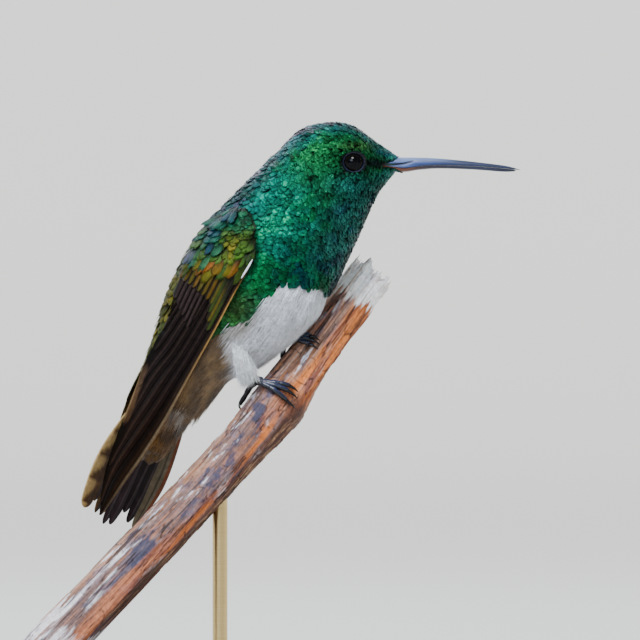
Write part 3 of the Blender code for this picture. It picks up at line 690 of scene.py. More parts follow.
def make_skin():
    """One closed skin under the plumage of the body, thighs and tail's root."""
    a, b = np.meshgrid(np.linspace(0, 10, 120), np.linspace(-1, 1, 96, endpoint=False), indexing="ij")
    spots, normals = BODY_SKIN.read(a, b)
    depth = SKIN_DEPTH * (0.35 + 0.65 * soft(0, 1.2, a))
    shapes = [spots - normals * depth[..., None]]
    for foot in FEET.values():
        top, low = np.array(foot["thigh"])
        share = np.linspace(-0.1, 0.97, 12)[:, None]
        shapes.append(limb_rings(top + (low - top) * share, 1.7 - 0.75 * share[:, 0]))
    shapes += [
        wedge_rings(-1, 1.2, ((1.0, 2.2, 2.8), (8, 1.9, 2.9), (12.5, 1.3, 2.6), (16.0, 0.7, 2.0), (18.5, 0.35, 1.2))),
        wedge_rings(1, -0.5, ((1.0, 2.0, 2.8), (8, 1.9, 3.0), (12.5, 1.5, 3.0), (15.8, 0.9, 2.6), (17.6, 0.4, 1.7))),
    ]
    points, polys, _ = joined([(rings, tubes(rings), 0) for rings in shapes])
    cage = add_object("skin_cage", make_mesh("skin_cage", points, polys))
    remesh = cage.modifiers.new("Remesh", "REMESH")
    remesh.mode, remesh.voxel_size = "VOXEL", SKIN_CELL * MM
    evened = cage.modifiers.new("Smooth", "SMOOTH")
    evened.factor, evened.iterations = 0.5, 4
    mesh = bpy.data.meshes.new_from_object(cage.evaluated_get(bpy.context.evaluated_depsgraph_get()))
    bpy.data.objects.remove(cage)
    mesh.name = "skin"
    points = np.empty(len(mesh.vertices) * 3)
    mesh.vertices.foreach_get("co", points)
    # The skin takes the plumage's colour at 0.45 of its brightness, as painted shade in the gaps between the feathers.
    add_tint(mesh, colour_near(points.reshape(-1, 3) / MM) * 0.45)
    mesh.shade_smooth()
    place(mesh, grained("skin", 0.7, 0.5, (0.35, 4), (0.55, 1.15), (0.6, 0.12)), "plumage_breast", *FLESH)


def colour_near(points):
    """The plumage's colour over points of the skin, with the vent's where the tail begins."""
    past = (points - TAIL_ROOT) @ ALONG
    return mix(body_colour(points, *nearest_places(points)), mix(belly_colour(points), BUFF, 0.4), soft(8, 10, past))


# ---- Coat of the body ----

# How wide the bare ring round the eye is, and the station where the neck ends.
EYE_BARE, NECK_END = 1.66, 3.8


def clear_of_face(tops):
    """Which feathers leave the eyes, and the bill's bare sides, open."""
    shafts = tops[:, :, tops.shape[2] // 2]
    root, middle, tip = shafts[:, 0], shafts[:, tops.shape[1] // 2], shafts[:, -1]
    keep = np.ones(len(tops), bool)
    for x, y, z in (spot.T for spot in (root, middle, tip)):
        keep &= (np.hypot(x - EYE[0], (z - EYE[2]) * 1.08) > EYE_BARE) | (np.abs(y) < 2.5)
    for x, _, z in (spot.T for spot in (middle, tip, tops[:, -1, 0], tops[:, -1, -1])):
        top = np.interp(x, (21.3, 22.6, 24.6), (82.9, 83.35, 84.0))
        low = np.interp(x, (21.3, 22.4, 24.0), (82.7, 82.4, 81.9))
        keep &= ~((z < top) & (z > low) & (x > 21.3) & (x < 25.5))
    return keep


def body_roots(a, b):
    """Where feathers at the body's places have their roots on the bake map."""
    return stacked((b + 1) / 2 % 1.0, np.clip(a / 10, 0, 1))


def coat(name, slot, material, a, b, length, width, low, high, turn, camber,
         rim=0.5, root=0.92, tone=body_colour, rows=6, cols=5, sheet=BODY_SKIN):
    """Contour feathers on the body as one piece, and none where the face is bare."""
    tops, vane, s, w = plumes(sheet, a, b, length, width, low, high, turn, camber, rows, cols)
    if sheet is BODY_SKIN:
        keep = clear_of_face(tops)
        tops, vane, a, b = tops[keep], vane[keep], a[keep], b[keep]
    colour = tone(tops[:, rows // 2, cols // 2], a, b) * np.clip(1 + 0.16 * rng.normal(size=(len(a), 1)), 0.4, 1.9)
    # rim and root set how much painted shade falls on each feather's rim and root.
    tint = scaled(colour, s, w, rim, root)
    place(feather_mesh(name, tops, sheet.turned, tint, vane, body_roots(a, b)), material, slot)


def bill_sheet():
    """The bill's base as a sheet: a runs 0 to 1 along it, and b round it from 0 beneath to 1 and -1 above."""
    t = np.interp(np.linspace(22.0, 25.9, 40), BILL[:, 0], np.arange(len(BILL)))
    x, top, seam, low, half = spline(BILL, t).T[:, :, None]
    angle = np.linspace(-math.pi, math.pi, 61)[None]
    rise = np.where(np.cos(angle) > 0, low - seam, top - seam) * np.abs(np.cos(angle)) ** 0.85
    out = stacked(0, half * np.sin(angle), rise)
    return Sheet((0, -1), (1, 1), stacked(x, 0, seam) + out, out, around=True)


def evened_step(step, a, b, least, most):
    """The step between rows at each place, where rows run closer or wider than on the body's side."""
    stretch = BODY_SKIN.scale(a, b)[0] / BODY_SKIN.scale(a, np.full_like(a, 0.5))[0]
    return step(a) * np.clip(stretch, least, most)


def make_body_coat():
    scales = feather_material("scale_feathers", 0.085, 0.42, 0.62, depth=0.25, variation=0.18, specular=0.08)
    long_vanes = feather_material("back_feathers", 0.1, 0.44, 0.55, specular=0.08)

    def head_step(a):
        return 0.24 + 0.06 * a

    a, b = rows_of(BODY_SKIN, 0.03, 3.95, head_step, lambda a: 0.27 + 0.065 * a, jitter=0.18)
    x, _, z = BODY_SKIN.read(a, b)[0].T
    near_eye = 1 - 0.3 * bump(np.hypot(x - EYE[0], z - EYE[2]), 1.9, 1.0)
    length = 3.2 * evened_step(head_step, a, b, 0.55, 1.5) * near_eye
    width = (0.50 + 0.115 * a) * near_eye
    tip = 0.05 + rng.normal(0, 0.035, len(a)) - 0.25 * (1 - soft(0.0, 0.8, a))
    for side, near in (("right", np.sin(b * math.pi) < 0), ("left", np.sin(b * math.pi) >= 0)):
        coat("coat_head_" + side, "plumage_crown", scales, a[near], b[near], length[near], width[near],
             -0.36, tip[near], rng.normal(0, 0.2, near.sum()), 0.05, cols=7)

    # Small feathers that run out along the bill: in a point under it, and shorter ones over it.
    half = 200
    count = 2 * half
    b = np.concatenate([rng.uniform(-0.36, 0.36, half), rng.choice((-1, 1), half) * rng.uniform(0.70, 1.0, half)])
    reach = np.where(np.abs(b) < 0.5, 0.56 - 0.80 * np.abs(b), 0.34 * soft(0.66, 0.95, np.abs(b)))
    a = reach * rng.random(count) ** 0.55
    coat("coat_bill_edge", "plumage_crown", scales, a, b, 0.62 + 0.25 * rng.random(count),
         0.28 + 0.08 * rng.random(count), -0.05, 0.06 + 0.05 * rng.random(count), rng.normal(0, 0.15, count), 0.06,
         tone=lambda p, a, b: green_colour(p, 0.1 + 0 * a, 1 - np.abs(b)) * 0.8, rows=5, sheet=bill_sheet())

    def breast_step(a):
        return 0.43 + 0.06 * (a - NECK_END)

    a, b = rows_of(BODY_SKIN, NECK_END + 0.05, 8.9, breast_step, lambda a: 0.50 + 0.075 * (a - NECK_END),
                   0.27, 1.73, jitter=0.2)
    keep = belly_share(BODY_SKIN.read(a, b)[0] - (0.7, 0, 0.9), a + 0.3, beneath(b)) < 0.5
    a, b = a[keep], b[keep]
    length = 3.3 * evened_step(breast_step, a, b, 0.6, 1.4)
    for side, near in (("right", b >= 1), ("left", b < 1)):
        count, width = near.sum(), 0.84 + 0.12 * (a[near] - NECK_END)
        coat("coat_breast_" + side, "plumage_breast", scales, a[near], b[near], length[near], width, -0.42,
             0.06 + rng.normal(0, 0.05, count), rng.normal(0, 0.18, count), 0.07, tone=green_colour, rows=7, cols=7)

    a, b = rows_of(BODY_SKIN, NECK_END, 9.7, lambda a: 0.62 + 0.11 * (a - NECK_END),
                   lambda a: 0.66 + 0.12 * (a - NECK_END), -0.34, 0.34)
    past = a - NECK_END
    coat("coat_back", "plumage_crown", long_vanes, a, b, 2.1 + 0.35 * past, 1.02 + 0.14 * past, -0.5,
         0.1 + rng.normal(0, 0.07, len(a)), rng.normal(0, 0.18, len(a)), 0.10, rows=8)


# ---- Eyes ----

# The eyelids' section, as (radius, mm out from the middle plane).
EYELID = np.array([
    (1.90, 4.3), (1.82, 4.85), (1.72, 5.15), (1.63, 5.38), (1.55, 5.50),
    (1.46, 5.50), (1.39, 5.42), (1.35, 5.28), (1.40, 5.0), (1.6, 4.6),
])


def about_eye(profile, sides, sign, ripple=0.0):
    """Rings of a shape turned round the eye's axis, from (radius, mm out from the middle plane) pairs."""
    angle = circle(sides)
    r, y = profile.T[:, :, None]
    wave = 1 + ripple * np.sin(angle * 26) * np.sin(np.linspace(0, math.pi, len(profile)))[:, None]
    x, z = r * wave * np.cos(angle) * 1.04, r * wave * np.sin(angle) * 0.95
    return stacked(EYE[0] + x, sign * y, EYE[2] + z)


def make_eyes():
    ball = Surface("eyeball", 0.02, 0.095)
    ball.colour_from(ball.tint())
    ball.relief(ball.noise(0.25), 0.03, 0.01)
    lid = grained("eyelid", 0.4, 0.14, (0.12, 4), (0.5, 1.5), (0.7, 0.05))
    turn = np.linspace(0.02, math.pi - 0.02, 40)
    reach = EYE_RADIUS * (1 + 0.025 * bump(turn, 0, 0.55))
    cornea = stacked(EYE_RADIUS * np.sin(turn), EYE[1] + reach * np.cos(turn))
    off = np.degrees(turn)[:, None, None]
    iris = np.where(off < 50, (0.003, 0.0018, 0.0014), (0.002, 0.002, 0.003))
    tint = np.where(off < 34, (0.001, 0.001, 0.0015), iris)
    for side, sign in (("right", -1), ("left", 1)):
        rings = about_eye(cornea, 64, sign)
        mesh = make_mesh("eyeball_" + side, *joined([(rings, flipped(tubes(rings), sign < 0), tint)]))
        place(mesh, ball.material, "eye", "eye_" + side)

        rings = about_eye(spline(EYELID, np.linspace(0, 9, 40)), 128, sign, ripple=0.012)
        folds = 0.035 * speckle(rings, 0.28, 3.0) + 0.02 * speckle(rings, 0.12, 9.0)
        rings = rings + unit(rings - np.array((EYE[0], sign * 4.2, EYE[2]))) * folds[..., None]
        # The lid's blue rim is faint all round and much stronger on the lower side, as painted sheen.
        below = 0.5 + 0.5 * np.clip((EYE[2] - rings[..., 2]) / 1.6 - (rings[..., 0] - EYE[0]) / 4, -1, 1)
        edge = bump(np.linspace(0, 1, 40)[:, None], 0.66, 0.13) * (0.12 + 0.8 * below)
        edge = np.clip(edge * (0.55 + 0.6 * speckle(rings, 0.5, 6.0)), 0, 1)
        grid = numbered(*rings.shape[:2])
        faces = quads(np.concatenate([grid, grid[:1]]), around=True)
        colour = mix((0.003, 0.004, 0.007), (0.026, 0.040, 0.105), edge)
        place(make_mesh("eyelids_" + side, rings, flipped([faces], sign < 0), colour), lid, "eye")


# ---- Bill ----

BILL_SLIT = 0.012


def make_bill():
    horn = grained("bill_horn", 0.3, 0.36, (0.5, 4, (0.12, 1, 1)), (0.7, 1.35), (0.3, 0.05))
    x, top, seam, low, half = spline(BILL, np.linspace(0, len(BILL) - 1, 130)).T[:, :, None]
    angle = np.linspace(0, math.pi, 41)[None]
    for name, sign in (("bill_upper", 1), ("bill_lower", -1)):
        start = seam + sign * BILL_SLIT
        z = start + ((top if sign > 0 else low) - start) * np.sin(angle) ** 0.85
        # The nostril's slit runs along the upper half only.
        line = np.interp(x, (21.4, 23.2, 24.9, 26.4), (82.82, 82.84, 83.02, 83.42))
        slit = bump(z, line, np.interp(x, (21.5, 24.0, 26.4), (0.17, 0.12, 0.07))) * (1 - soft(25.7, 26.6, x))
        slit = slit * (sign > 0)
        edge = bump(z, start, 0.09) * soft(24.4, 25.4, x)
        creases = bump(angle, 0.6, 0.08), bump(angle, math.pi - 0.6, 0.08)
        y = half * np.cos(angle) * (1 - 0.27 * slit - 0.05 * edge - 0.03 * creases[0] - 0.03 * creases[1])
        # The upper half is lighter towards its top, and in a band under the slit, as painted highlight.
        if sign > 0:
            colour = layered(
                mix((0.036, 0.064, 0.20), (0.17, 0.23, 0.42), soft(0.45, 0.95, (z - low) / (top - low))),
                ((0.13, 0.17, 0.34), bump(z, line - 0.26, 0.15) * (1 - soft(25.4, 26.8, x))),
                # The slit is painted dark as shade in its groove.
                ((0.002, 0.002, 0.003), np.clip(1.8 * slit, 0, 1)),
            )
        else:
            colour = mix((0.11, 0.026, 0.008), (0.026, 0.016, 0.020), soft(24.2, 28.5, x + 0.8 * (z - 82.2)))
            colour = mix(colour, (0.028, 0.030, 0.048), soft(28, 34, x))
        # Both halves darken towards the tip and beneath: the dark horn, with the painted highlight fading out and
        # painted shade beneath.
        colour = mix(colour, (0.009, 0.014, 0.040), 0.88 * soft(25.6, 35.0, x + 0.9 * (83.2 - z)))
        # A dark line along the gape, each side of the seam, is painted shade between the halves.
        colour = mix(colour, (0.006, 0.006, 0.009), 0.85 * bump(z, start, 0.07) * soft(22.0, 24.5, x))
        inside = stacked(x, half * np.cos(np.linspace(math.pi, 0, 9))[1:-1], start)
        rings = np.concatenate([stacked(x, y, z), inside], axis=1)
        # The faces inside the seam are painted dark as shade.
        colour = np.concatenate([colour, np.full(inside.shape, 0.006)], axis=1)
        if sign < 0:
            rings, colour = rings[:, ::-1], colour[:, ::-1]
        tip_x, tip_z = BILL_TIPS[sign]
        end = np.array((tip_x, 0, tip_z + sign * BILL_SLIT))
        rings = np.concatenate([rings, [rings[-1] + (end - rings[-1]) * k for k in (0.35, 0.65, 0.86, 0.985)]])
        colour = np.concatenate([colour, np.repeat(colour[-1:], 4, axis=0)])
        place(make_mesh(name + "_horn", rings, tubes(rings), colour), horn, "bill", name)


# ---- Wings ----

# Where each primary ends along the wing, from the leading one inwards.
PRIMARY_ENDS = (10.0, 9.72, 8.87, 7.73, 6.60, 5.47, 4.75, 4.33, 4.10, 3.95)


def primary_edge(index, a):
    """How far across the wing a primary's leading edge lies at place a: they fan out from the wrist."""
    root, end = index / 9.55, np.interp(index, range(len(PRIMARY_ENDS)), PRIMARY_ENDS)
    along = np.maximum(a - 2.0, 0) / (end - 2.0)
    return np.minimum(root + (index / (index + 0.55) - root) * along ** (1 + 2.2 * math.exp(-index / 4)), 1.0)


def blades(sheet, roots, ends, edges, drop, thickness, rows, cols, shaft=0.33, tip=1.3, outward=0.0):
    """Long feathers, shingled: each stands out at its leading edge and slips under the next one at its trailing edge.

    edges gives the leading and trailing edge of feather k at places a.
    """
    tops, unders, vanes = [], [], []
    s, w = 1 - (1 - np.linspace(0, 1, rows)[:, None]) ** 1.6, np.linspace(0, 1, cols)
    for k, (root, end) in enumerate(zip(roots, ends)):
        a = root + (end - root) * s
        first, last = edges(k, a)
        per_a = float(sheet.scale(np.array([end - 0.3]), np.array([0.5]))[0][0])
        pinch = np.sqrt(np.clip(1 - np.clip(1 - (end - a) * per_a / tip, 0, 1) ** 2.2, 0.012, 1))
        middle = first + (last - first) * shaft
        before = (first - middle) * (1 - w / shaft) * (w < shaft)
        b = middle + (before + (last - middle) * (w - shaft) / (1 - shaft) * (w >= shaft)) * pinch
        spots, normals = sheet.read(a, b)
        height = outward - drop * w + 0.10 * np.sin(math.pi * w) + 0.07 * bump(w, shaft, 0.07)
        top = spots + normals * height[:, None]
        depth = thickness * np.sin(math.pi * np.clip(w, 0.06, 0.94)) * np.clip(pinch, 0.3, 1)
        tops.append(top)
        unders.append(top - normals * depth[..., None])
        x = (b - middle) * sheet.scale(a, np.full_like(a, 0.5))[1]
        vanes.append(stacked(x, s * (end - root) * per_a, k / 10))
    return np.array(tops), np.array(unders), np.array(vanes), s, w


def primary_tints(tops, s, w):
    """The colours of the primaries, whose points are given."""
    tint = np.empty(tops.shape)
    for k in range(len(tops)):
        # A lighter line down the shaft and a lighter leading edge are painted sheen; behind the shaft the feather is
        # near-black.
        layers = [
            ((0.030, 0.018, 0.014), 0.8 * bump(w, 0.33, 0.05)),
            ((0.002, 0.0015, 0.001), 0.85 * soft(0.42, 0.60, w)),
            ((0.030, 0.017, 0.013), 0.5 * bump(w, 0.0, 0.07)),
        ]
        if k == 0:
            pale = mix((0.62, 0.34, 0.10), (0.34, 0.24, 0.14), soft(0.2, 0.6, s))
            layers.append((pale, bump(w, 0.0, 0.09) * soft(0.05, 0.2, s)))
        tint[k] = layered(0.55 * mix(FLIGHT, FLIGHT_PURPLE, 0.35 + 0.5 * (k * 5 % 3) / 2), *layers)
    # The rear edge of the folded wing is buff where its shortest feathers end.
    x, z = tops[..., 0], tops[..., 2]
    inwards = x - np.interp(z, (45.3, 48.2, 53.1), (-16.4, -15.3, -13.6)) + 0.15 * speckle(tops, 1.5, 27.0)
    fringe = np.sin(math.pi * np.clip((z - 44.9) / 8.8, 0, 1)) ** 0.6 * soft(1.05, 0.75, inwards)
    tint = mix(tint, mix((0.22, 0.14, 0.065), (0.060, 0.036, 0.021), soft(0.05, 0.35, inwards)), 0.95 * fringe)
    tint *= mix((1, 1, 1), (1.0, 0.74, 0.42), soft(54, 42, z) * soft(0.12, 0.04, tint[..., 0]))
    return tint * (1 + 0.25 * speckle(tops * (0.3, 1, 0.3), 1.2, 5.0))[..., None]


def make_wing(side, sheet, flight, bronze):
    def lay(name, tops, tint, vane, across, down, unders=None, node=None, material=bronze, slot="plumage_coverts"):
        roots = stacked(across, down)
        mesh = feather_mesh(name + "_" + side, tops, sheet.turned, tint, vane, roots, unders)
        place(mesh, material, slot, *([node] if node else []))

    def lay_scales(name, tops, vane, s, w, colour, root, a, b, shift):
        # Each scale gets painted shade at its rim and root, and a painted highlight on its disc.
        lay(name, tops, scaled(colour, s, w, 0.8, root), vane, np.clip(b, 0, 1), np.clip(a / 10 + shift, 0, 1))

    def primary_edges(k, a):
        return primary_edge(k, a), primary_edge(k + 1.75, a)

    count = len(PRIMARY_ENDS)
    starts = 2.0 + 0.05 * np.arange(count)
    tops, unders, vane, s, w = blades(sheet, starts, PRIMARY_ENDS, primary_edges, 0.26, 0.11, 46, 11)
    lay("primaries", tops, primary_tints(tops, s, w), vane, np.linspace(0.05, 0.95, count), 0.25, unders,
        "wing_%s_flight" % side, flight, "plumage_flight")

    # Secondaries: short dark feathers that show below the greater coverts at the back.
    places, ends = np.linspace(0.50, 0.93, 6), np.linspace(4.35, 3.75, 6)
    tops, unders, vane, s, w = blades(
        sheet, [2.2] * 6, ends, lambda k, a: (places[k] - 0.05, min(places[k] + 0.12, 1.02)),
        0.2, 0.09, 20, 7, tip=0.9, outward=0.05)
    tint = mix((0.004, 0.0025, 0.002), (0.036, 0.022, 0.021), bump(w, 0.3, 0.10))
    tint = mix(tint, (0.001, 0.001, 0.001), soft(0.45, 0.8, w))
    lay("secondaries", tops, tint, vane, places, 0.25, unders, None, flight, "plumage_flight")

    # Greater coverts: olive-bronze blades with dark gaps between them.
    places = np.concatenate([np.linspace(0.30, 0.98, 8), [0.14, 0.20, 0.26]])
    ends = np.concatenate([np.linspace(3.55, 3.08, 8), [4.15, 3.95, 3.75]])
    tops, unders, vane, s, w = blades(
        sheet, ends - 1.5, ends, lambda k, a: (places[k] - 0.052, min(places[k] + 0.066, 1.03)),
        0.12, 0.12, 20, 9, shaft=0.45, tip=0.8, outward=0.30)
    tint = np.empty(tops.shape)
    for k in range(len(places)):
        base = mix((0.030, 0.050, 0.004), (0.085, 0.065, 0.003), k % 2)
        if k < 8:
            base = mix((0.070, 0.059, 0.003), (0.11, 0.037, 0.001), 0.6 * math.sin(5.1 * k) ** 2)
        disc = base, bump(w, 0.36, 0.22) * soft(0.3, 0.7, s)
        tint[k] = layered((0.006, 0.005, 0.002), disc, ((0.02, 0.012, 0.006), soft(0.7, 0.95, w)))
    lay("greater_coverts", tops, tint, vane, places, 0.2, unders, "wing_%s_coverts" % side)

    # Lesser coverts, as scales: green, with gold and copper towards the middle of the wing.
    a, b = rows_of(sheet, -0.32, 1.95, lambda a: 0.42 + 0.22 * max(a, 0), lambda a: 0.48 + 0.24 * max(a, 0),
                   0.05, 1.0, jitter=0.2)
    size = 0.66 + 0.32 * np.maximum(a, 0)
    rise = np.interp(a, (-0.3, 0.5), (0, 1))
    high = 0.37 * rise + 0.05 + rng.normal(0, 0.05, len(a))
    turn = 0.45 * (1 - soft(0.05, 0.3, b)) + rng.normal(0.0, 0.2, len(a))
    feathers = plumes(sheet, a, b, 2.5 * size, 1.18 * size, 0.45 * rise - 0.45, high, turn, 0.08)
    middle = feathers[0][:, 4, 2]
    blot, fine = speckle(middle, 2.3, 8.0), speckle(middle, 1.1, 21.0)
    colour = layered(
        (0.004, 0.10, 0.045),
        ((0.035, 0.095, 0.006), soft(0.2, 1.1, a + 0.6 * blot)),
        (GOLD, 0.9 * soft(0.0, 0.35, blot) * soft(0.6, 1.3, a) * soft(0.1, 0.25, b)),
        (COPPER, soft(0.10, 0.40, fine + 0.4 * blot) * soft(0.9, 1.6, a) * (1 - soft(0.7, 0.9, b))),
        ((0.0, 0.11, 0.075), soft(0.60, 0.78, b) * (1 - soft(1.6, 2.4, a))),
    )
    colour *= 0.70 * np.clip(1 + 0.35 * fine + 0.22 * rng.normal(size=len(a)), 0.3, 2)[:, None]
    lay_scales("lesser_coverts", *feathers, colour, 0.9, a, b, 0.05)

    # Median coverts: one row of broad rounded feathers, green with a gold or copper disc.
    count = 12
    b = np.linspace(0.17, 0.97, count) + rng.normal(0, 0.012, count)
    a = np.interp(b, (0, 1), (1.95, 1.62)) + rng.normal(0, 0.05, count)
    feathers = plumes(sheet, a, b, 3.9 + 0.3 * rng.random(count), 1.75 + 0.2 * rng.random(count), 0.1, 0.55,
                      rng.normal(0, 0.1, count), 0.14, rows=10, cols=9)
    disc = mix(GOLD, COPPER, soft(0.4, 0.9, np.sin(b * 23) ** 2))
    share = soft(0.1, 0.6, np.sin(b * 17 + 1) ** 2) * (1 - 0.6 * soft(0.7, 0.95, b))
    lay_scales("median_coverts", *feathers, mix((0.024, 0.060, 0.004), disc, share) * 0.62, 0.8, a, b, 0.08)

    # Scapulars: long blue-green feathers that fall from the shoulder over the wing's upper edge.
    a, b = rows_of(sheet, -0.25, 1.7, 0.85, 0.95, 0.66, 1.02, jitter=0.22)
    count = len(a)
    length = (3.4 + 0.6 * rng.random(count)) * np.interp(a, (-0.2, 0.8), (0.6, 1))
    width = (1.25 + 0.25 * rng.random(count)) * np.interp(a, (-0.2, 0.8), (0.65, 1))
    high = 0.58 + rng.normal(0, 0.07, count)
    feathers = plumes(sheet, a, b, length, width, 0.05, high, rng.normal(0.0, 0.12, count), 0.12, rows=9, cols=7)
    middle = feathers[0][:, 5, 3]
    colour = layered(
        (0.002, 0.070, 0.044),
        ((0.006, 0.036, 0.060), soft(-0.1, 0.35, speckle(middle, 1.6, 2.0) + 0.6 * (b - 0.85))),
        # Violet along the wing's upper edge is a painted sheen.
        ((0.08, 0.075, 0.15), 0.7 * soft(0.9, 1.0, b) * soft(-0.2, 0.2, speckle(middle, 1.3, 9.0))),
        ((0.036, 0.080, 0.005), soft(0.9, 1.7, a + 0.3 * rng.normal(size=count))),
    )
    lay_scales("scapulars", *feathers, colour, 0.85, a, b, 0.1)


def make_alula_edge(side, sheet, bone):
    """The bend of the wing: a white line where the alula's edge shows."""
    spots, normals = sheet.read(np.linspace(2.10, 2.78, 24), 0.03)
    rings = limb_rings(spots + normals * 0.5, 0.15 * np.sqrt(np.clip(1 - np.linspace(-1, 1, 24) ** 2, 0.02, 1)), 10)
    mesh = make_mesh("alula_edge_" + side, *joined([(rings, tubes(rings), (0.80, 0.82, 0.90))]))
    place(mesh, bone, "plumage_coverts")


def make_wings():
    flight = feather_material("flight_feathers", 0.10, 0.5, 0.0, slant=0.7, specular=0.05)
    bronze = feather_material("covert_feathers", 0.1, 0.42, 0.45)
    bone = grained("alula_edge", 0.5, 0.5, (0.3,), (0.8, 1.1))
    for side, sheet in WINGS.items():
        make_wing(side, sheet, flight, bronze)
        make_alula_edge(side, sheet, bone)


# ---- Tail ----

# How much each tail feather stops short of the tail's end.
TAIL_STEPS = (0.0, 1.7, 0.5, 2.1, 0.0, 2.0, 0.1, 2.3, 0.9, 0.2)
# Where along the tail the depth of its coverts is given, beneath it and over it.
COVERTS_AT, UNDER_DEPTH, UPPER_DEPTH = (0, 8, 12, 16, 20.5), (4.4, 4.2, 3.2, 1.9, 0.85), (4.2, 4.3, 4.3, 3.6, 2.2)
# Where along the tail its coverts' spread is given, as a share of their half-width.
SPREAD_AT, COVERTS_SPREAD = (0, 12, 22), (1.0, 0.95, 0.45)
# How far the middle of the coverts beneath the tail lies to the bird's left, and their half-width.
UNDER_SHIFT, UNDER_HALF = 1.2, 3.2


def rectrix_tint(k, sign, distance, w):
    """The colours of tail feather k, where w runs from -1 on its right edge to 1."""
    if k == 0:
        teeth = soft(0.0, 0.22, (distance / 3.7) % 1.0 - 0.44 + 0.50 * w) * soft(14, 17, distance)
        return layered(
            (0.36, 0.235, 0.090), ((0.12, 0.055, 0.015), soft(0.1, 0.5, w)),
            ((0.56, 0.38, 0.16), 0.8 * bump(w, -1, 0.25)), ((0.050, 0.018, 0.004), 0.95 * teeth),
        )
    if k == TAIL_FEATHERS - 1:
        return layered(
            TAIL_OLIVE, ((0.17, 0.036, 0.008), soft(0.40, 0.65, w)),
            ((0.02, 0.012, 0.01), 0.8 * bump(w, 0.0, 0.07)), ((0.012, 0.006, 0.004), 0.8 * soft(0.85, 1.0, w)),
        )
    # The middle feathers: lighter along the shaft and the outer edge as painted highlight.
    colour = layered(
        mix(TAIL_DARK, (0.026, 0.014, 0.018), 0.5 + 0.5 * math.sin(2.3 * k)),
        ((0.060, 0.042, 0.046), 0.9 * bump(w, 0, 0.10)), ((0.003, 0.002, 0.002), 0.8 * soft(0.6, 0.95, -w * sign)),
        ((0.055, 0.035, 0.032), 0.5 * bump(w, sign, 0.12)),
    )
    return mix(colour, (0.10, 0.055, 0.018), 0.8 * (1 - soft(-0.6, 0.2, w))) if k in (1, 2) else colour


def make_rectrices():
    quill = feather_material("tail_feathers", 0.11, 0.45, 0.0, slant=0.8, specular=0.12)
    s, w = 1 - (1 - np.linspace(0, 1, 40)[:, None]) ** 1.8, np.linspace(-1, 1, 11)
    depth = 0.09 * np.sin(math.pi * np.clip((w + 1) / 2, 0.08, 0.92)) + 0.08 * bump(w, 0, 0.1)
    tops, vane, tint = [], [], []
    for k, short in enumerate(TAIL_STEPS):
        rank, sign = abs(k - 4.5) - 0.5, math.copysign(1, k - 4.5)
        end = TAIL_LENGTH + TAIL_ROUND * (1 - rank / 4) - short
        distance = 5.0 + (end - 5.0) * s
        spread = spline(TAIL_HALF, np.clip((distance - TAIL_START) / (end - TAIL_START), 0, 1) * 4)[..., 0]
        spread = spread * np.interp(distance, (5, TAIL_START), (0.6, 1))
        rounding, taper = (2.6, 0.46) if k else (1.5, 0.12)
        pinch = np.sqrt(np.clip(1 - np.clip(1 - (end - distance) / rounding, 0, 1) ** 2, 0.008, 1))
        half = spread * 0.215 * (pinch * (1 - taper * soft(8.0, 0.8, end - distance)))
        middle = sign * spread * (0.20 * (rank + 1) - 0.215)
        if k == 0:
            flare = np.sin(math.pi * np.clip((distance - 9) / (end - 8), 0, 1))
            half, middle = half + 0.3 * flare, middle - 0.6 * flare
        side = middle + half * w
        height = -0.02 - 0.095 * rank - 0.045 * (sign * w) - TAIL_CURL * (side / spread) ** 2 * 0.8
        tops.append(tail_point(distance, side, height + 0.05 * bump(w, 0, 0.1)))
        vane.append(stacked(half * w, distance, k / 10))
        tint.append(np.broadcast_to(rectrix_tint(k, sign, distance, w), tops[-1].shape))
    tops = np.array(tops)
    tint = np.array(tint) * (1 + 0.3 * speckle(tops * 0.6, 1.0, 15.0)[..., None])
    roots = stacked((np.arange(TAIL_FEATHERS) + 0.5) / TAIL_FEATHERS, 0.6)
    mesh = feather_mesh("rectrices", tops, True, tint, np.array(vane), roots, tops - depth[:, None] * UP)
    place(mesh, quill, "plumage_tail", "tail")


def under_covert_tint(start, spot, s, w):
    """The colours of a covert beneath the tail: pale, with a brown middle and buff edges."""
    return layered(
        (0.34, 0.31, 0.26),
        ((0.20, 0.105, 0.030), soft(-0.2, 0.25, speckle(spot, 2.2, 4.0) + 0.02 * (start - 6))),
        ((0.055, 0.032, 0.014), bump(w, 0.1, 0.38) * soft(0.30, 0.6, s) * 0.85),
        ((0.42, 0.24, 0.07), soft(0.75, 1.0, np.abs(w)) * soft(0.4, 0.8, s) * 0.7),
    )


def upper_covert_tint(start, _spot, _s, w):
    """The colours of a covert over the tail: bronze, with an edge that turns from dark to buff."""
    colour = mix((0.12, 0.10, 0.012), (0.22, 0.13, 0.040), soft(5.0, 13.0, start))
    edge = mix((0.04, 0.036, 0.012), (0.40, 0.26, 0.10), soft(7.0, 12.0, start))
    return mix(colour, edge, soft(0.4, 0.9, np.abs(w)))


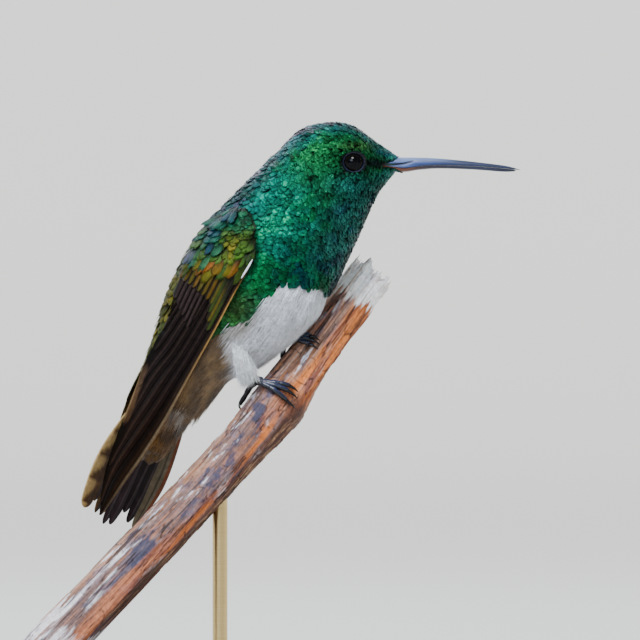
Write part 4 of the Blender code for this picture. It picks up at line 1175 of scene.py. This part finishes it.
def tail_coverts(name, slot, material, side, tinted, shift, half_width, rows, step, length, lift, depths):
    """Rows of small feathers over the tail's root, where side is 1, or beneath it."""
    s, w = np.linspace(0, 1, 12)[:, None], np.linspace(-1, 1, 7)
    tops, vane, tints, roots = [], [], [], []
    for row in range(rows):
        start = 2.0 + step * row
        across = np.linspace(-1, 1, 11 if row % 2 else 10) * np.interp(start, (0, 14), (1.05, 0.72))
        for u in across + rng.normal(0, 0.05, len(across)):
            distance = start + (length + 0.8 * rng.random()) * (s - 0.1 * w**2 * s)
            half = np.interp(s, OUTLINE[:, 0], OUTLINE[:, 1]) * (1.9 + 0.3 * rng.random()) / 2
            aside = u * half_width * np.interp(distance, SPREAD_AT, COVERTS_SPREAD) + half * w
            drop = np.clip(1 - (aside / (half_width * 1.35)) ** 2, 0.02, 1) ** 0.5
            height = lift + np.interp(distance, COVERTS_AT, depths) * drop
            height = height + 0.12 * (1 - w**2) - 0.35 * (1 - s) + rng.normal(0, 0.03)
            top = tail_point(distance, shift + aside, side * height)
            tops.append(top)
            vane.append(stacked(half * w, distance, rng.random()))
            # Darker towards each covert's root as painted shade, where the row before covers it.
            painted_shading = np.clip(0.35 + 0.9 * s, 0, 1)[..., None]
            tints.append(np.broadcast_to(tinted(start, top[6, 3], s, w) * painted_shading, top.shape))
            roots.append(((u + 1.2) / 2.4, start / 20))
    tops, vane, tints, roots = (np.array(v) for v in (tops, vane, tints, roots))
    unders = tops - side * UP * (0.08 * (1 - w**2))[:, None]
    place(feather_mesh(name, tops, side > 0, tints, vane, roots, unders), material, slot)


def make_tail():
    make_rectrices()
    under = feather_material("vent_feathers", 0.09, 0.75, 0.0, slant=2.2, variation=0.2, sheen=0.1)
    upper = feather_material("rump_feathers", 0.22, 0.4, 0.45, depth=0.5, variation=0.35)
    tail_coverts("undertail_coverts", "plumage_belly", under, -1, under_covert_tint, UNDER_SHIFT, UNDER_HALF,
                 rows=10, step=1.15, length=7.6, lift=0.6, depths=UNDER_DEPTH)
    tail_coverts("uppertail_coverts", "plumage_crown", upper, 1, upper_covert_tint, -0.5, 3.4,
                 rows=13, step=1.0, length=6.2, lift=0.25, depths=UPPER_DEPTH)


# ---- Down of the belly, vent and legs ----


def strands(name, starts, lies, outs, length, width, tints, roots, material, lift, sway):
    """Soft tapering barbs: each starts at a point, lies along a direction and lifts off the skin towards its tip."""
    count, steps, sides = len(starts), 5, 3
    s = np.linspace(0, 1, steps)[None, :, None]
    across = unit(np.cross(lies, outs))
    drift = rng.normal(0, sway, (count, 1, 1)) * s**1.6
    curl = lift * s**1.5 + rng.normal(0, 0.05, (count, 1, 1)) * s
    bend = lies[:, None] * s + across[:, None] * drift * 0.6 + outs[:, None] * curl * 0.4
    path = starts[:, None] + length[:, None, None] * bend
    angle = circle(sides)[:, None]
    ring = np.cos(angle) * across[:, None, None] * 1.5 + np.sin(angle) * outs[:, None, None] * 0.6
    radius = width / 2 * np.array((0.55, 1.0, 0.85, 0.5, 0.08))[:, None, None]
    points = path[:, :, None] + radius * ring
    polys = repeated(tubes(points[0]), count, steps * sides)
    tint = np.broadcast_to(tints[:, None, None] * (0.80 + 0.26 * s[..., None]), points.shape)
    vane = np.broadcast_to(s[..., None] * (0, 3, 0), points.shape)
    patch = stacked((np.arange(sides) - 1) * 0.0012, (s - 0.5) * 0.003)
    uv = roots[:, None, None] * (1 - 2 * MAP_MARGIN) + MAP_MARGIN + patch
    place(make_mesh(name, points, polys, tint, (1, 2), vane, uv), material, "plumage_belly")


def make_down():
    down = feather_material("down", 0.5, 0.8, 0.0, depth=0.2, variation=0.12, sheen=0.25)
    vanes = feather_material("belly_feathers", 0.22, 0.8, 0.0, depth=0.4, variation=0.15, sheen=0.25)

    # Under layer: soft white feathers over the belly and vent.
    a, b = rows_of(BODY_SKIN, 5.0, 9.9, 0.75, 0.95, 0.36, 1.64, jitter=0.2)
    under, spots = beneath(b), BODY_SKIN.read(a, b)[0]
    keep = (belly_share(spots, a, under) > 0.5) & (belly_share(spots + (0.5, 0, 0.9), a, under) > 0.5)
    a, b, count = a[keep], b[keep], keep.sum()
    coat("coat_belly", "plumage_belly", vanes, a, b, 3.0 + 0.5 * rng.random(count), 1.5, -0.62,
         -0.22 + rng.normal(0, 0.04, count), rng.normal(0, 0.2, count), 0.1,
         rim=0.12, root=0.3, tone=lambda p, a, b: belly_colour(p))

    # Over layer: fine barbs that break the feathers' edges.
    a, b = rows_of(BODY_SKIN, 5.0, 9.9, 0.29, 0.19, 0.38, 1.62, jitter=0.45)
    spots, normals = BODY_SKIN.read(a, b)
    keep = belly_share(spots - (0.55, 0, 0.75), a, beneath(b)) > 0.3
    a, b, spots, normals = a[keep], b[keep], spots[keep], normals[keep]
    lies = unit(unit(BODY_SKIN.read(a + 0.05, b)[0] - spots) + normals * 0.05)
    tone = np.clip(belly_colour(spots) * (1.04 + 0.10 * rng.normal(size=(len(a), 1))), 0, 1)
    for side, near in (("right", b >= 1), ("left", b < 1)):
        strands("down_belly_" + side, (spots - normals * 0.32)[near], lies[near], normals[near],
                2.6 + 1.4 * rng.random(near.sum()), 0.085, tone[near], body_roots(a, b)[near], down, 0.32, 0.14)
    for side, foot in FEET.items():
        make_leg_down(side, *np.array(foot["thigh"]), down)


def make_leg_down(side, top, low, down):
    """Long silky barbs down a thigh to the foot."""
    count = 2600
    share, angle = rng.random(count) ** 0.9 * 0.95 - 0.20, rng.random(count) * 2 * math.pi
    along = unit(low - top)
    across, other = limb_frame(along)
    outs = np.cos(angle)[:, None] * across + np.sin(angle)[:, None] * other
    thigh = np.interp(share, (-0.2, 0.1, 0.35, 0.6, 0.8), (0.6, 1.15, 1.35, 1.1, 0.65))
    starts = top + (low - top) * share[:, None] + outs * (thigh * (0.75 + 0.25 * rng.random(count)))[:, None]
    # Barbs that would start under the belly's surface are lifted onto it.
    hull, normals = BODY_SKIN.read(*nearest_places(starts))
    depth = np.sum((starts - hull) * normals, axis=1)
    starts = starts + normals * (np.clip(0.30 - depth, 0, 1.6) * (depth > -1.5) * (share < 0.75))[:, None]
    tone = mix((0.96, 0.97, 1.0), (0.88, 0.92, 1.0), rng.random(count)) * (1.0 + 0.08 * rng.normal(size=(count, 1)))
    length = np.clip(2.6 + 1.4 * rng.random(count), 0.5, (0.99 - share) * np.linalg.norm(low - top))
    lies = unit(along - outs * 0.10 + 0.06 * rng.normal(size=(count, 3)))
    roots = stacked(angle / (2 * math.pi), np.clip(share, 0, 1))
    strands("down_leg_" + side, starts, lies, outs, length, 0.080, np.clip(tone, 0, 1), roots, down, 0.5, 0.22)


def make_vent():
    """Silky barbs over the first coverts beneath the tail, which blend the belly into them."""
    down = feather_material("vent_down", 0.5, 0.8, 0.0, depth=0.2, variation=0.12, sheen=0.15)
    count = 2600
    start, u = 3.0 + 11.5 * rng.random(count) ** 1.2, rng.uniform(-1.0, 1.0, count)
    span = UNDER_HALF * np.interp(start, SPREAD_AT, COVERTS_SPREAD)
    drop = np.sqrt(np.clip(1 - (u * 0.95) ** 2, 0.02, 1))
    height = 0.45 + np.interp(start, COVERTS_AT, UNDER_DEPTH) * drop
    spots = tail_point(start, UNDER_SHIFT + u * span * 1.1, -height)
    outs = unit(u[:, None] * 0.9 * ACROSS - drop[:, None] * UP)
    grey = soft(0.0, 0.45, speckle(spots, 1.2, 5.0)) * soft(13, 6, start)
    grey = np.clip(grey + 0.8 * bump(start, 6.0, 1.6) * bump(u, 0.1, 0.45), 0, 1)
    tone = layered(
        BROWN_DOWN,
        ((0.30, 0.15, 0.045), soft(-0.2, 0.3, speckle(spots, 1.8, 33.0))),
        ((0.50, 0.46, 0.42), grey),
        ((0.52, 0.50, 0.48),
         0.85 * blob(spots, -7.2, 48.9, 1.5, 1.9) * soft(-0.5, 0.1, speckle(spots * (1, 1, 0.5), 1.0, 47.0))),
        ((0.050, 0.026, 0.012),
         0.7 * bump(start, 10.5, 2.2) * soft(-0.1, 0.3, speckle(spots * (1, 1, 0.4), 0.9, 61.0))),
    )
    tone = np.clip(tone * (1 + 0.2 * rng.normal(size=(count, 1))), 0.01, 1)
    roots = stacked((u + 1) / 2, start / 20)
    strands("down_vent", spots, unit(ALONG - 0.10 * outs), outs, 3.0 + 2.0 * rng.random(count), 0.10, tone, roots,
            down, 0.25, 0.12)


# ---- Branch ----

BRANCH_END = len(BRANCH) - 1.0
# Mm that one unit of a place on the branch is worth, and its radius, where the bark's pattern is drawn.
BARK_LENGTH, BARK_RADIUS = 11.2, 3.6


def branch_axis(t):
    """The axis point at place t, unit vectors along it, to its upper edge and to -Y, and the radius there."""
    away = BRANCH[:, :2] - BRANCH_LEVEL
    y = BRANCH_SIDE + BRANCH_SLOPE * np.copysign(np.linalg.norm(away, axis=1), away[:, 1])
    table = stacked(BRANCH[:, 0], y, *BRANCH[:, 1:].T)
    t = np.asarray(t, float)
    row = spline(table, t)
    along = unit((spline(table, t + 0.05) - spline(table, t - 0.05))[..., :3])
    upper = unit(np.cross(along, (0.0, 1.0, 0.0)))
    return row[..., :3], along, upper, np.cross(along, upper), row[..., 3]


def bark_height(t, angle):
    """How far the bark stands out of the branch's round section: its ridges, and the knot."""
    ridges = 0.16 * np.sin(3 * angle + 1.3 * t) + 0.09 * np.sin(7 * angle - 2.0 * t)
    around = (angle - 2.5 + math.pi) % (2 * math.pi) - math.pi
    return ridges + 0.55 * np.exp(-((t - 4.15) ** 2) / 0.05 - around**2 / 0.5)


def place_on_branch(at):
    t = np.linspace(0, BRANCH_END, 1201)
    return float(t[np.argmin(np.linalg.norm(branch_axis(t)[0][:, [0, 2]] - np.array(at), axis=1))])


def on_branch(start, distance, degrees, lift):
    """A point over the bark: mm along the axis from place start, degrees round it, and mm above the surface."""
    point, along, *_ = branch_axis(start)
    t = place_on_branch((point + along * distance)[[0, 2]])
    point, _, upper, near, radius = branch_axis(t)
    angle = math.radians(degrees)
    return point + (radius + bark_height(t, angle) + lift) * (math.cos(angle) * upper + math.sin(angle) * near)


def make_branch():
    t, angle = np.linspace(0, BRANCH_END, 470)[:, None], circle(180)[None]
    point, along, upper, near, radius = branch_axis(t[:, 0])
    end, end_along = point[-1], along[-1]
    out = np.cos(angle)[..., None] * upper[:, None] + np.sin(angle)[..., None] * near[:, None]
    length = t * BARK_LENGTH
    around_x, around_y = BARK_RADIUS * np.cos(angle), BARK_RADIUS * np.sin(angle)
    rolled = stacked(length * 0.2, around_x, around_y)
    close = stacked(length, around_x, around_y)
    broad, grain = ragged(rolled, 2.4, 1.0), ragged(rolled * (1.0, 2.6, 2.6), 1.6, 7.0)
    flake = ragged(close * (0.55, 1, 1), 2.0, 31.0)
    crack = bump(speckle(rolled * (0.7, 1.8, 1.8), 1.2, 51.0), 0.0, 0.03) * soft(-0.1, 0.3, broad)
    peel = soft(0.0, 0.10, flake + 0.3 * broad)
    cross = bump((length + 1.6 * speckle(close * (0.3, 1, 1), 1.6, 9.0)) % 5.3, 2.0, 0.09) * soft(0.0, 0.3, grain)
    lower = 1 - soft(3.7, 4.4, t + 0.3 * broad)
    reach = radius[:, None] + bark_height(t, angle) + 0.10 * broad + (0.07 - 0.04 * lower) * grain
    reach = reach + (0.12 - 0.04 * lower) * peel - (0.20 - 0.06 * lower) * crack - 0.12 * cross - 0.12
    spots = point[:, None] + out * reach[..., None]

    # The upper end is torn across, as the solid's is, and frayed.
    jag = 0.5 + 0.5 * np.cos(5 * angle[0] + 0.6)
    tear = 2.6 * (jag - 0.4) - 0.5 * (1 - np.cos(angle[0])) + 0.9 * ragged(close[-1] * 1.6, 1.0, 4.0)
    spots = spots + end_along * (tear * soft(BRANCH_END - 0.28, BRANCH_END, t))[..., None]

    fibre = speckle(rolled * (0.6, 9, 9), 1.0, 15.0)
    worn = soft(BRANCH_END - 0.37, BRANCH_END - 0.32,
                t + 0.11 * ragged(rolled * (1, 2.2, 2.2), 1.4, 19.0) + 0.05 * np.cos(angle - 1.2))
    colour = bark_colour(t, angle, rolled, close, broad, grain, flake, fibre, lower, peel, crack, cross)
    wood = layered(
        (1.0, 0.99, 1.0),
        ((0.66, 0.50, 0.42), soft(0.20, 0.75, ragged(rolled * (0.8, 3, 3), 1.3, 33.0))),
        ((0.34, 0.22, 0.17),
         0.75 * bump(speckle(rolled * (0.5, 5, 5), 1.0, 57.0), 0.0, 0.05) + 0.4 * soft(0.1, 0.5, -fibre)),
    )
    tint = [mix(colour, wood, worn) * (1 + (0.35 - 0.1 * worn) * fibre)[..., None]]
    rings = [spots - out * (0.14 * worn + 0.035 * fibre)[..., None]]
    rim = rings[0][-1]
    for k, share in enumerate((0.90, 0.76, 0.60, 0.42, 0.2)):
        middle = end - end_along * (0.5 + 1.2 * (1 - share))
        fray = 0.5 * speckle(close[-1] * 2.2 + 3 * k, 0.9, 40.0) * share - 0.5 * (1 - share)
        ring = middle + (rim - middle) * share + end_along * fray[:, None]
        rings.append(ring[None])
        tint.append(mix((0.86, 0.83, 0.86), (0.52, 0.36, 0.28), soft(-0.1, 0.5, speckle(ring * 2, 1.0, 5.0)))[None])
    rings = np.concatenate(rings)
    sides, low_end, high_end = tubes(rings)
    shapes = [(rings, [sides[:, ::-1], low_end, high_end], np.concatenate(tint))]
    shapes += [splinter(end, end_along, rim - end_along * tear[:, None], tear) for _ in range(90)]
    bark = grained("bark", 0.78, 0.35, (0.5, 6), (0.78, 1.22), (0.7, 0.14))
    place(make_mesh("branch_bark", *joined(shapes)), bark, "bark", "perch_branch")


def bark_colour(t, angle, rolled, close, broad, grain, flake, fibre, lower, peel, crack, cross):
    """The bark's colours: tan above, mauve and dark below, with lichen, orange stripes, cracks and the knot; the tan is
    lighter near the top as painted light, and low down the lichen is partly a painted highlight.
    """
    line = soft(-0.35, 0.35, grain + 0.5 * fibre)
    line = line + 0.55 * lower * (0.62 - line)
    around = angle + 0.16 * np.sin(2.1 * t) + 0.22 * ragged(rolled, 1.8, 3.0)
    # The tan is lighter from t 5.1 up: painted light where the bird's body shades the branch.
    tan = mix((0.17, 0.078, 0.046), (0.44, 0.26, 0.19), line) * (1 + 0.45 * soft(5.1, 5.5, t))[..., None]
    mauve = mix((0.036, 0.024, 0.030), (0.17, 0.115, 0.130), line)
    rust = (0.65 - 0.30 * lower) * soft(0.0, 0.4, ragged(rolled * (1, 3, 3), 1.3, 77.0))
    lilac = 0.45 * peel * soft(-0.2, 0.3, ragged(close * (0.5, 1, 1), 1.2, 14.0) + 0.3 * bump(around, 1.5, 0.5))
    slate = 0.85 * soft(-0.15, 0.2, ragged(close * (0.3, 1, 1), 1.7, 63.0)) * soft(-0.2, 0.2, flake + 0.1)
    slate = slate * (0.35 + 0.65 * lower) * soft(0.3, 0.7, around)
    pale = ragged(close * (0.35, 1.2, 1.2), 1.4, 83.0) + 0.75 * soft(1.2, 0.0, t)
    # Low down, the pale lichen lies thicker on the upper near side, as painted highlight.
    pale = 0.85 * soft(0.46, 0.85, pale + 0.3 * lower * bump(around, 0.75, 0.45))
    high_stripe = soft(1.40, 1.70, around) * soft(2.9, 2.6, around)
    low_stripe = soft(1.70, 1.90, around) * soft(2.6, 2.35, around + 0.09 * t) * soft(4.2, 3.6, t)
    stripe = (high_stripe * (1 - lower) + low_stripe * lower) * (0.6 + 0.4 * soft(0.4, 0.1, broad))
    band = lower * soft(2.2, 2.5, around) * soft(0.3, 0.9, t)
    threads = bump(around + 0.15 * fibre, 2.62, 0.05) + bump(around + 0.2 * grain, 2.9, 0.06)
    seam = bump(speckle(rolled * (0.55, 3.2, 3.2), 1.0, 71.0), 0.0, 0.05) * soft(-0.3, 0.2, flake)
    pits = soft(0.38, 0.5, ragged(close * (0.12, 1.7, 1.7), 1.0, 91.0))
    knot = np.exp(-((t - 4.12) ** 2) / 0.03 - ((angle - 2.35) ** 2) / 0.25)
    return layered(
        tan,
        (mauve, 0.7 * lower * soft(0.45, 1.1, around)),
        ((0.46, 0.15, 0.045), rust),
        ((0.20, 0.16, 0.22), lilac),
        ((0.030, 0.036, 0.075), slate),
        ((0.74, 0.71, 0.76), pale),
        (mix((0.25, 0.052, 0.010), (0.62, 0.17, 0.028), line), 0.92 * stripe),
        (mix((0.022, 0.009, 0.007), (0.13, 0.042, 0.018), line), 0.92 * band),
        ((0.46, 0.27, 0.14), 0.6 * band * soft(-0.2, 0.2, grain) * np.clip(threads, 0, 1)),
        ((0.016, 0.009, 0.008), 0.92 * np.clip(crack + 0.7 * seam + cross * 0.9 + 0.7 * pits, 0, 1)),
        ((0.045, 0.018, 0.014), 0.9 * np.clip(knot * (1.1 + 1.2 * grain), 0, 1)),
    )


def splinter(end, along, rim, tear):
    """A splinter that stands up from the torn end."""
    turn, depth = rng.random() * 2 * math.pi, 0.25 + 0.72 * rng.random()
    j = int(turn / (2 * math.pi) * len(rim)) % len(rim)
    foot = end + (rim[j] - end) * depth - along * 1.8
    rise = 1.9 + (1.6 if rng.random() < 0.3 else 0.7) * rng.random() + max(tear[j], 0) * 0.6
    lean = unit(along + 0.10 * rng.normal(size=3))
    share = np.linspace(0, 1, 7)[:, None]
    width = (0.16 + 0.22 * rng.random()) * np.array((1, 1, 0.92, 0.8, 0.6, 0.35, 0.06))
    ring = limb_rings(foot + lean * rise * share + 0.18 * rng.normal(size=3) * share**2, width, 6)
    return ring, tubes(ring), mix((0.98, 0.96, 1.0), (0.72, 0.57, 0.48), 0.6 * rng.random())


# ---- Feet ----


def make_limbs(name, limbs, material, low, high, node):
    """A foot's toes or claws, each a path with its radii, lighter above as a painted highlight."""
    shapes = []
    for path, radii in limbs:
        rings = limb_rings(path, radii, 14)
        # Lighter on the upper side: a painted highlight.
        light = soft(-0.2, 0.9, unit(rings - path[:, None])[..., 2])
        shapes.append((rings, tubes(rings), mix(low, high, light)))
    place(make_mesh(name, *joined(shapes)), material, "foot", node)


def make_feet():
    scutes = grained("toe_scales", 0.28, 0.45, (0.22, 3), (0.6, 1.5), (0.4, 0.04))
    horn = grained("claw_horn", 0.2, 0.3, (0.3,), (0.7, 1.3))
    for side, foot in FEET.items():
        start, lower = place_on_branch(foot["over"]), np.array(foot["thigh"][1])
        s0, a0 = foot["sole"]
        sole = on_branch(start, s0, a0, TOE_RADIUS + GAP + 0.5)
        ankle = sole + (lower - sole) * 0.62
        share = np.linspace(0, 1, 16)
        heel = sole * 2 - ankle * 0.9 - lower * 0.1
        path = spline(np.array([ankle, (ankle + sole) / 2, sole, heel]), share * 3)
        shank = np.interp(share, (0, 0.3, 0.66, 1), (0.62, 0.66, 0.72, 0.3)) * (1 + 0.05 * np.abs(np.sin(share * 22)))
        toes, claws = [(path, shank)], []
        for s1, a1 in (*foot["front"], foot["hind"]):
            share = np.linspace(0, 1, 40)
            path = np.array([
                on_branch(start, s0 + (s1 - s0) * k, a0 + (a1 - a0) * k, TOE_RADIUS * 0.9 + 0.13 + 0.5 * (1 - k) ** 2)
                for k in share
            ])
            joints = 0.05 * np.sin(share * math.pi * 3) ** 2
            scute = 0.028 * (1 - (share * 15 % 1.0)) * soft(0, 0.1, share)
            toes.append((path, 0.44 - 0.14 * share + joints + scute))
            turn = math.copysign(CLAW_TURN, a1 - a0)
            share = np.linspace(0, 1, 14)
            path = np.array([
                on_branch(start, s1 + (s1 - s0) * 0.12 * k, a1 + turn * k,
                          TOE_RADIUS + 0.28 * math.sin(math.pi * k * 0.8) - 0.36 * k**2)
                for k in share
            ])
            claws.append((path, 0.25 * (1 - share) ** 0.8 + 0.03))
        # Each second colour is the painted highlight on top of the toes and claws.
        make_limbs("toes_" + side, toes, scutes, (0.002, 0.002, 0.004), (0.016, 0.024, 0.065), "foot_" + side)
        make_limbs("claws_" + side, claws, horn, (0.002, 0.002, 0.003), (0.008, 0.008, 0.012), "foot_" + side)


# ---- Stand ----

# The base's section, and the collar's over its foot and under its top, as (radius, height).
BASE_PROFILE = (
    (0.01, 0.0), (29.1, 0.0), (29.6, 0.12), (29.95, 0.6), (30.0, 1.2), (30.0, 2.3), (29.8, 2.62), (29.45, 2.72),
    (29.3, 2.95), (29.45, 3.2), (29.42, 3.9), (29.1, 4.45), (28.6, 4.8), (27.9, 4.95), (27.0, BASE_HEIGHT),
    (4.2, BASE_HEIGHT), (0.01, BASE_HEIGHT),
)
COLLAR_PROFILE = (
    (0.01, 0.0), (2.45, 0.0), (2.6, 0.15), (2.6, 0.6), (2.45, 0.72), (2.2, 0.8), (2.2, 1.0), (2.3, 1.12),
    (2.3, 1.3), (2.0, 1.6), (1.5, COLLAR_HEIGHT - 0.05), (1.3, COLLAR_HEIGHT), (0.01, COLLAR_HEIGHT),
)


def lathe(name, profile, centre, material, slot, node, sides):
    """A turned piece round an upright axis, from (radius, height) pairs."""
    angle = circle(sides)
    r, z = np.array(profile).T[:, :, None]
    rings = stacked(centre[0] + r * np.cos(angle), centre[1] + r * np.sin(angle), z)
    mesh = make_mesh(name, rings, flipped(tubes(rings)))
    mesh.set_sharp_from_angle(angle=math.radians(35))
    place(mesh, material, slot, node)


def make_stand():
    wood = Surface("walnut", 0.38, Coat_Weight=0.3)
    figure = wood.ramp(wood.noise(9.0, 6, (0.12, 1.6, 1.6)), (0.36, (0.045, 0.020, 0.010)), (0.66, (0.22, 0.105, 0.05)))
    pores = wood.noise(0.7, 4, (0.1, 1, 1))
    wood.colour_from(wood.shaded(figure, pores, 0.8, 1.15))
    wood.relief(pores, 0.2, 0.05)
    brass = Surface("brass", 0.28, Metallic=1.0)
    turning = brass.noise(1.2, 3, (0.15, 0.15, 6))
    brass.colour_from(brass.ramp(turning, (0, (0.52, 0.36, 0.14)), (1, (0.70, 0.52, 0.25))))
    brass.relief(turning, 0.1, 0.02)

    lathe("turned_base", BASE_PROFILE, (0, 0), wood.material, "stand_wood", "stand_base", 160)
    point = branch_axis(place_on_branch(ROD_AT))[0]
    foot = BASE_HEIGHT + GAP / 2
    collar = [(r, foot + z) for r, z in COLLAR_PROFILE]
    lathe("turned_collar", collar, point, brass.material, "stand_metal", "stand_collar", 96)
    low = foot + COLLAR_HEIGHT + GAP / 2
    heights = np.linspace(low + 0.15, point[2] - 1.0, 12)
    rod = [(0.01, low), (ROD_RADIUS - 0.15, low), *((ROD_RADIUS, z) for z in heights), (0.01, heights[-1])]
    lathe("rod", rod, point, brass.material, "stand_metal", "stand_rod", 64)


# ---- Stage ----


def add_light(name, kind, energy, colour, facing, **values):
    """A light that shines along a direction; values are its own further settings."""
    light = bpy.data.lights.new(name, kind)
    light.energy, light.color = energy, colour
    for key, value in values.items():
        setattr(light, key, value)
    lamp = add_object(name, light)
    lamp.rotation_euler = Vector(facing).to_track_quat("-Z", "Y").to_euler()
    return lamp


def make_stage():
    """A paper floor that curves up behind, the light and the camera; lengths are in metres."""
    turn = np.linspace(0.08, math.pi / 2, 14)
    r = np.concatenate([[0.001], np.linspace(0.15, 2.8, 20), 2.8 + 2.2 * np.sin(turn), [5.0]]) / MM
    z = np.concatenate([np.zeros(21), 2.2 * (1 - np.cos(turn)), [4.0]]) / MM
    r, z, angle = r[:, None], z[:, None], circle(96)
    rings = stacked(r * np.cos(angle), r * np.sin(angle), z)
    grid = numbered(*rings.shape[:2])
    floor = add_object("floor", make_mesh("floor", rings, [quads(grid, around=True), grid[:1, ::-1]]))
    floor.data.materials.append(Surface("paper", 0.95, 0.05, Base_Color=(0.80, 0.81, 0.80, 1)).material)

    world = bpy.data.worlds.new("studio")
    bpy.context.scene.world = world
    world.use_nodes = True
    background = world.node_tree.nodes["Background"].inputs
    background["Color"].default_value = (0.90, 0.95, 1.0, 1)
    background["Strength"].default_value = 0.5
    add_light("sky_panel", "SUN", 3.5, (1.0, 0.985, 0.955), (0.22, 0.74, -0.95), angle=math.radians(18))
    target = Vector((0.005, 0, 0.058))
    for name, spot, size, power, tone in (
        ("window", (-0.26, -0.62, 0.40), 0.34, 4.0, (0.66, 0.80, 1.0)),
        ("rim", (-0.35, 0.55, 0.75), 0.45, 3.0, (0.86, 0.92, 1.0)),
    ):
        lamp = add_light(name, "AREA", power, tone, target - Vector(spot), shape="DISK", size=size)
        lamp.location = spot
        lamp.visible_camera = False

    camera = add_object("camera", bpy.data.cameras.new("camera"))
    camera.data.lens, camera.data.sensor_width, camera.data.clip_end = 600, 36, 20
    camera.location, camera.rotation_euler = (0.0125, -1.5687, 0.060), (math.radians(90), 0, 0)
    bpy.context.scene.camera = camera


make_stage()
make_skin()
make_body_coat()
make_down()
make_vent()
make_eyes()
make_bill()
make_wings()
make_tail()
make_branch()
make_feet()
make_stand()

bpy.context.view_layer.update()
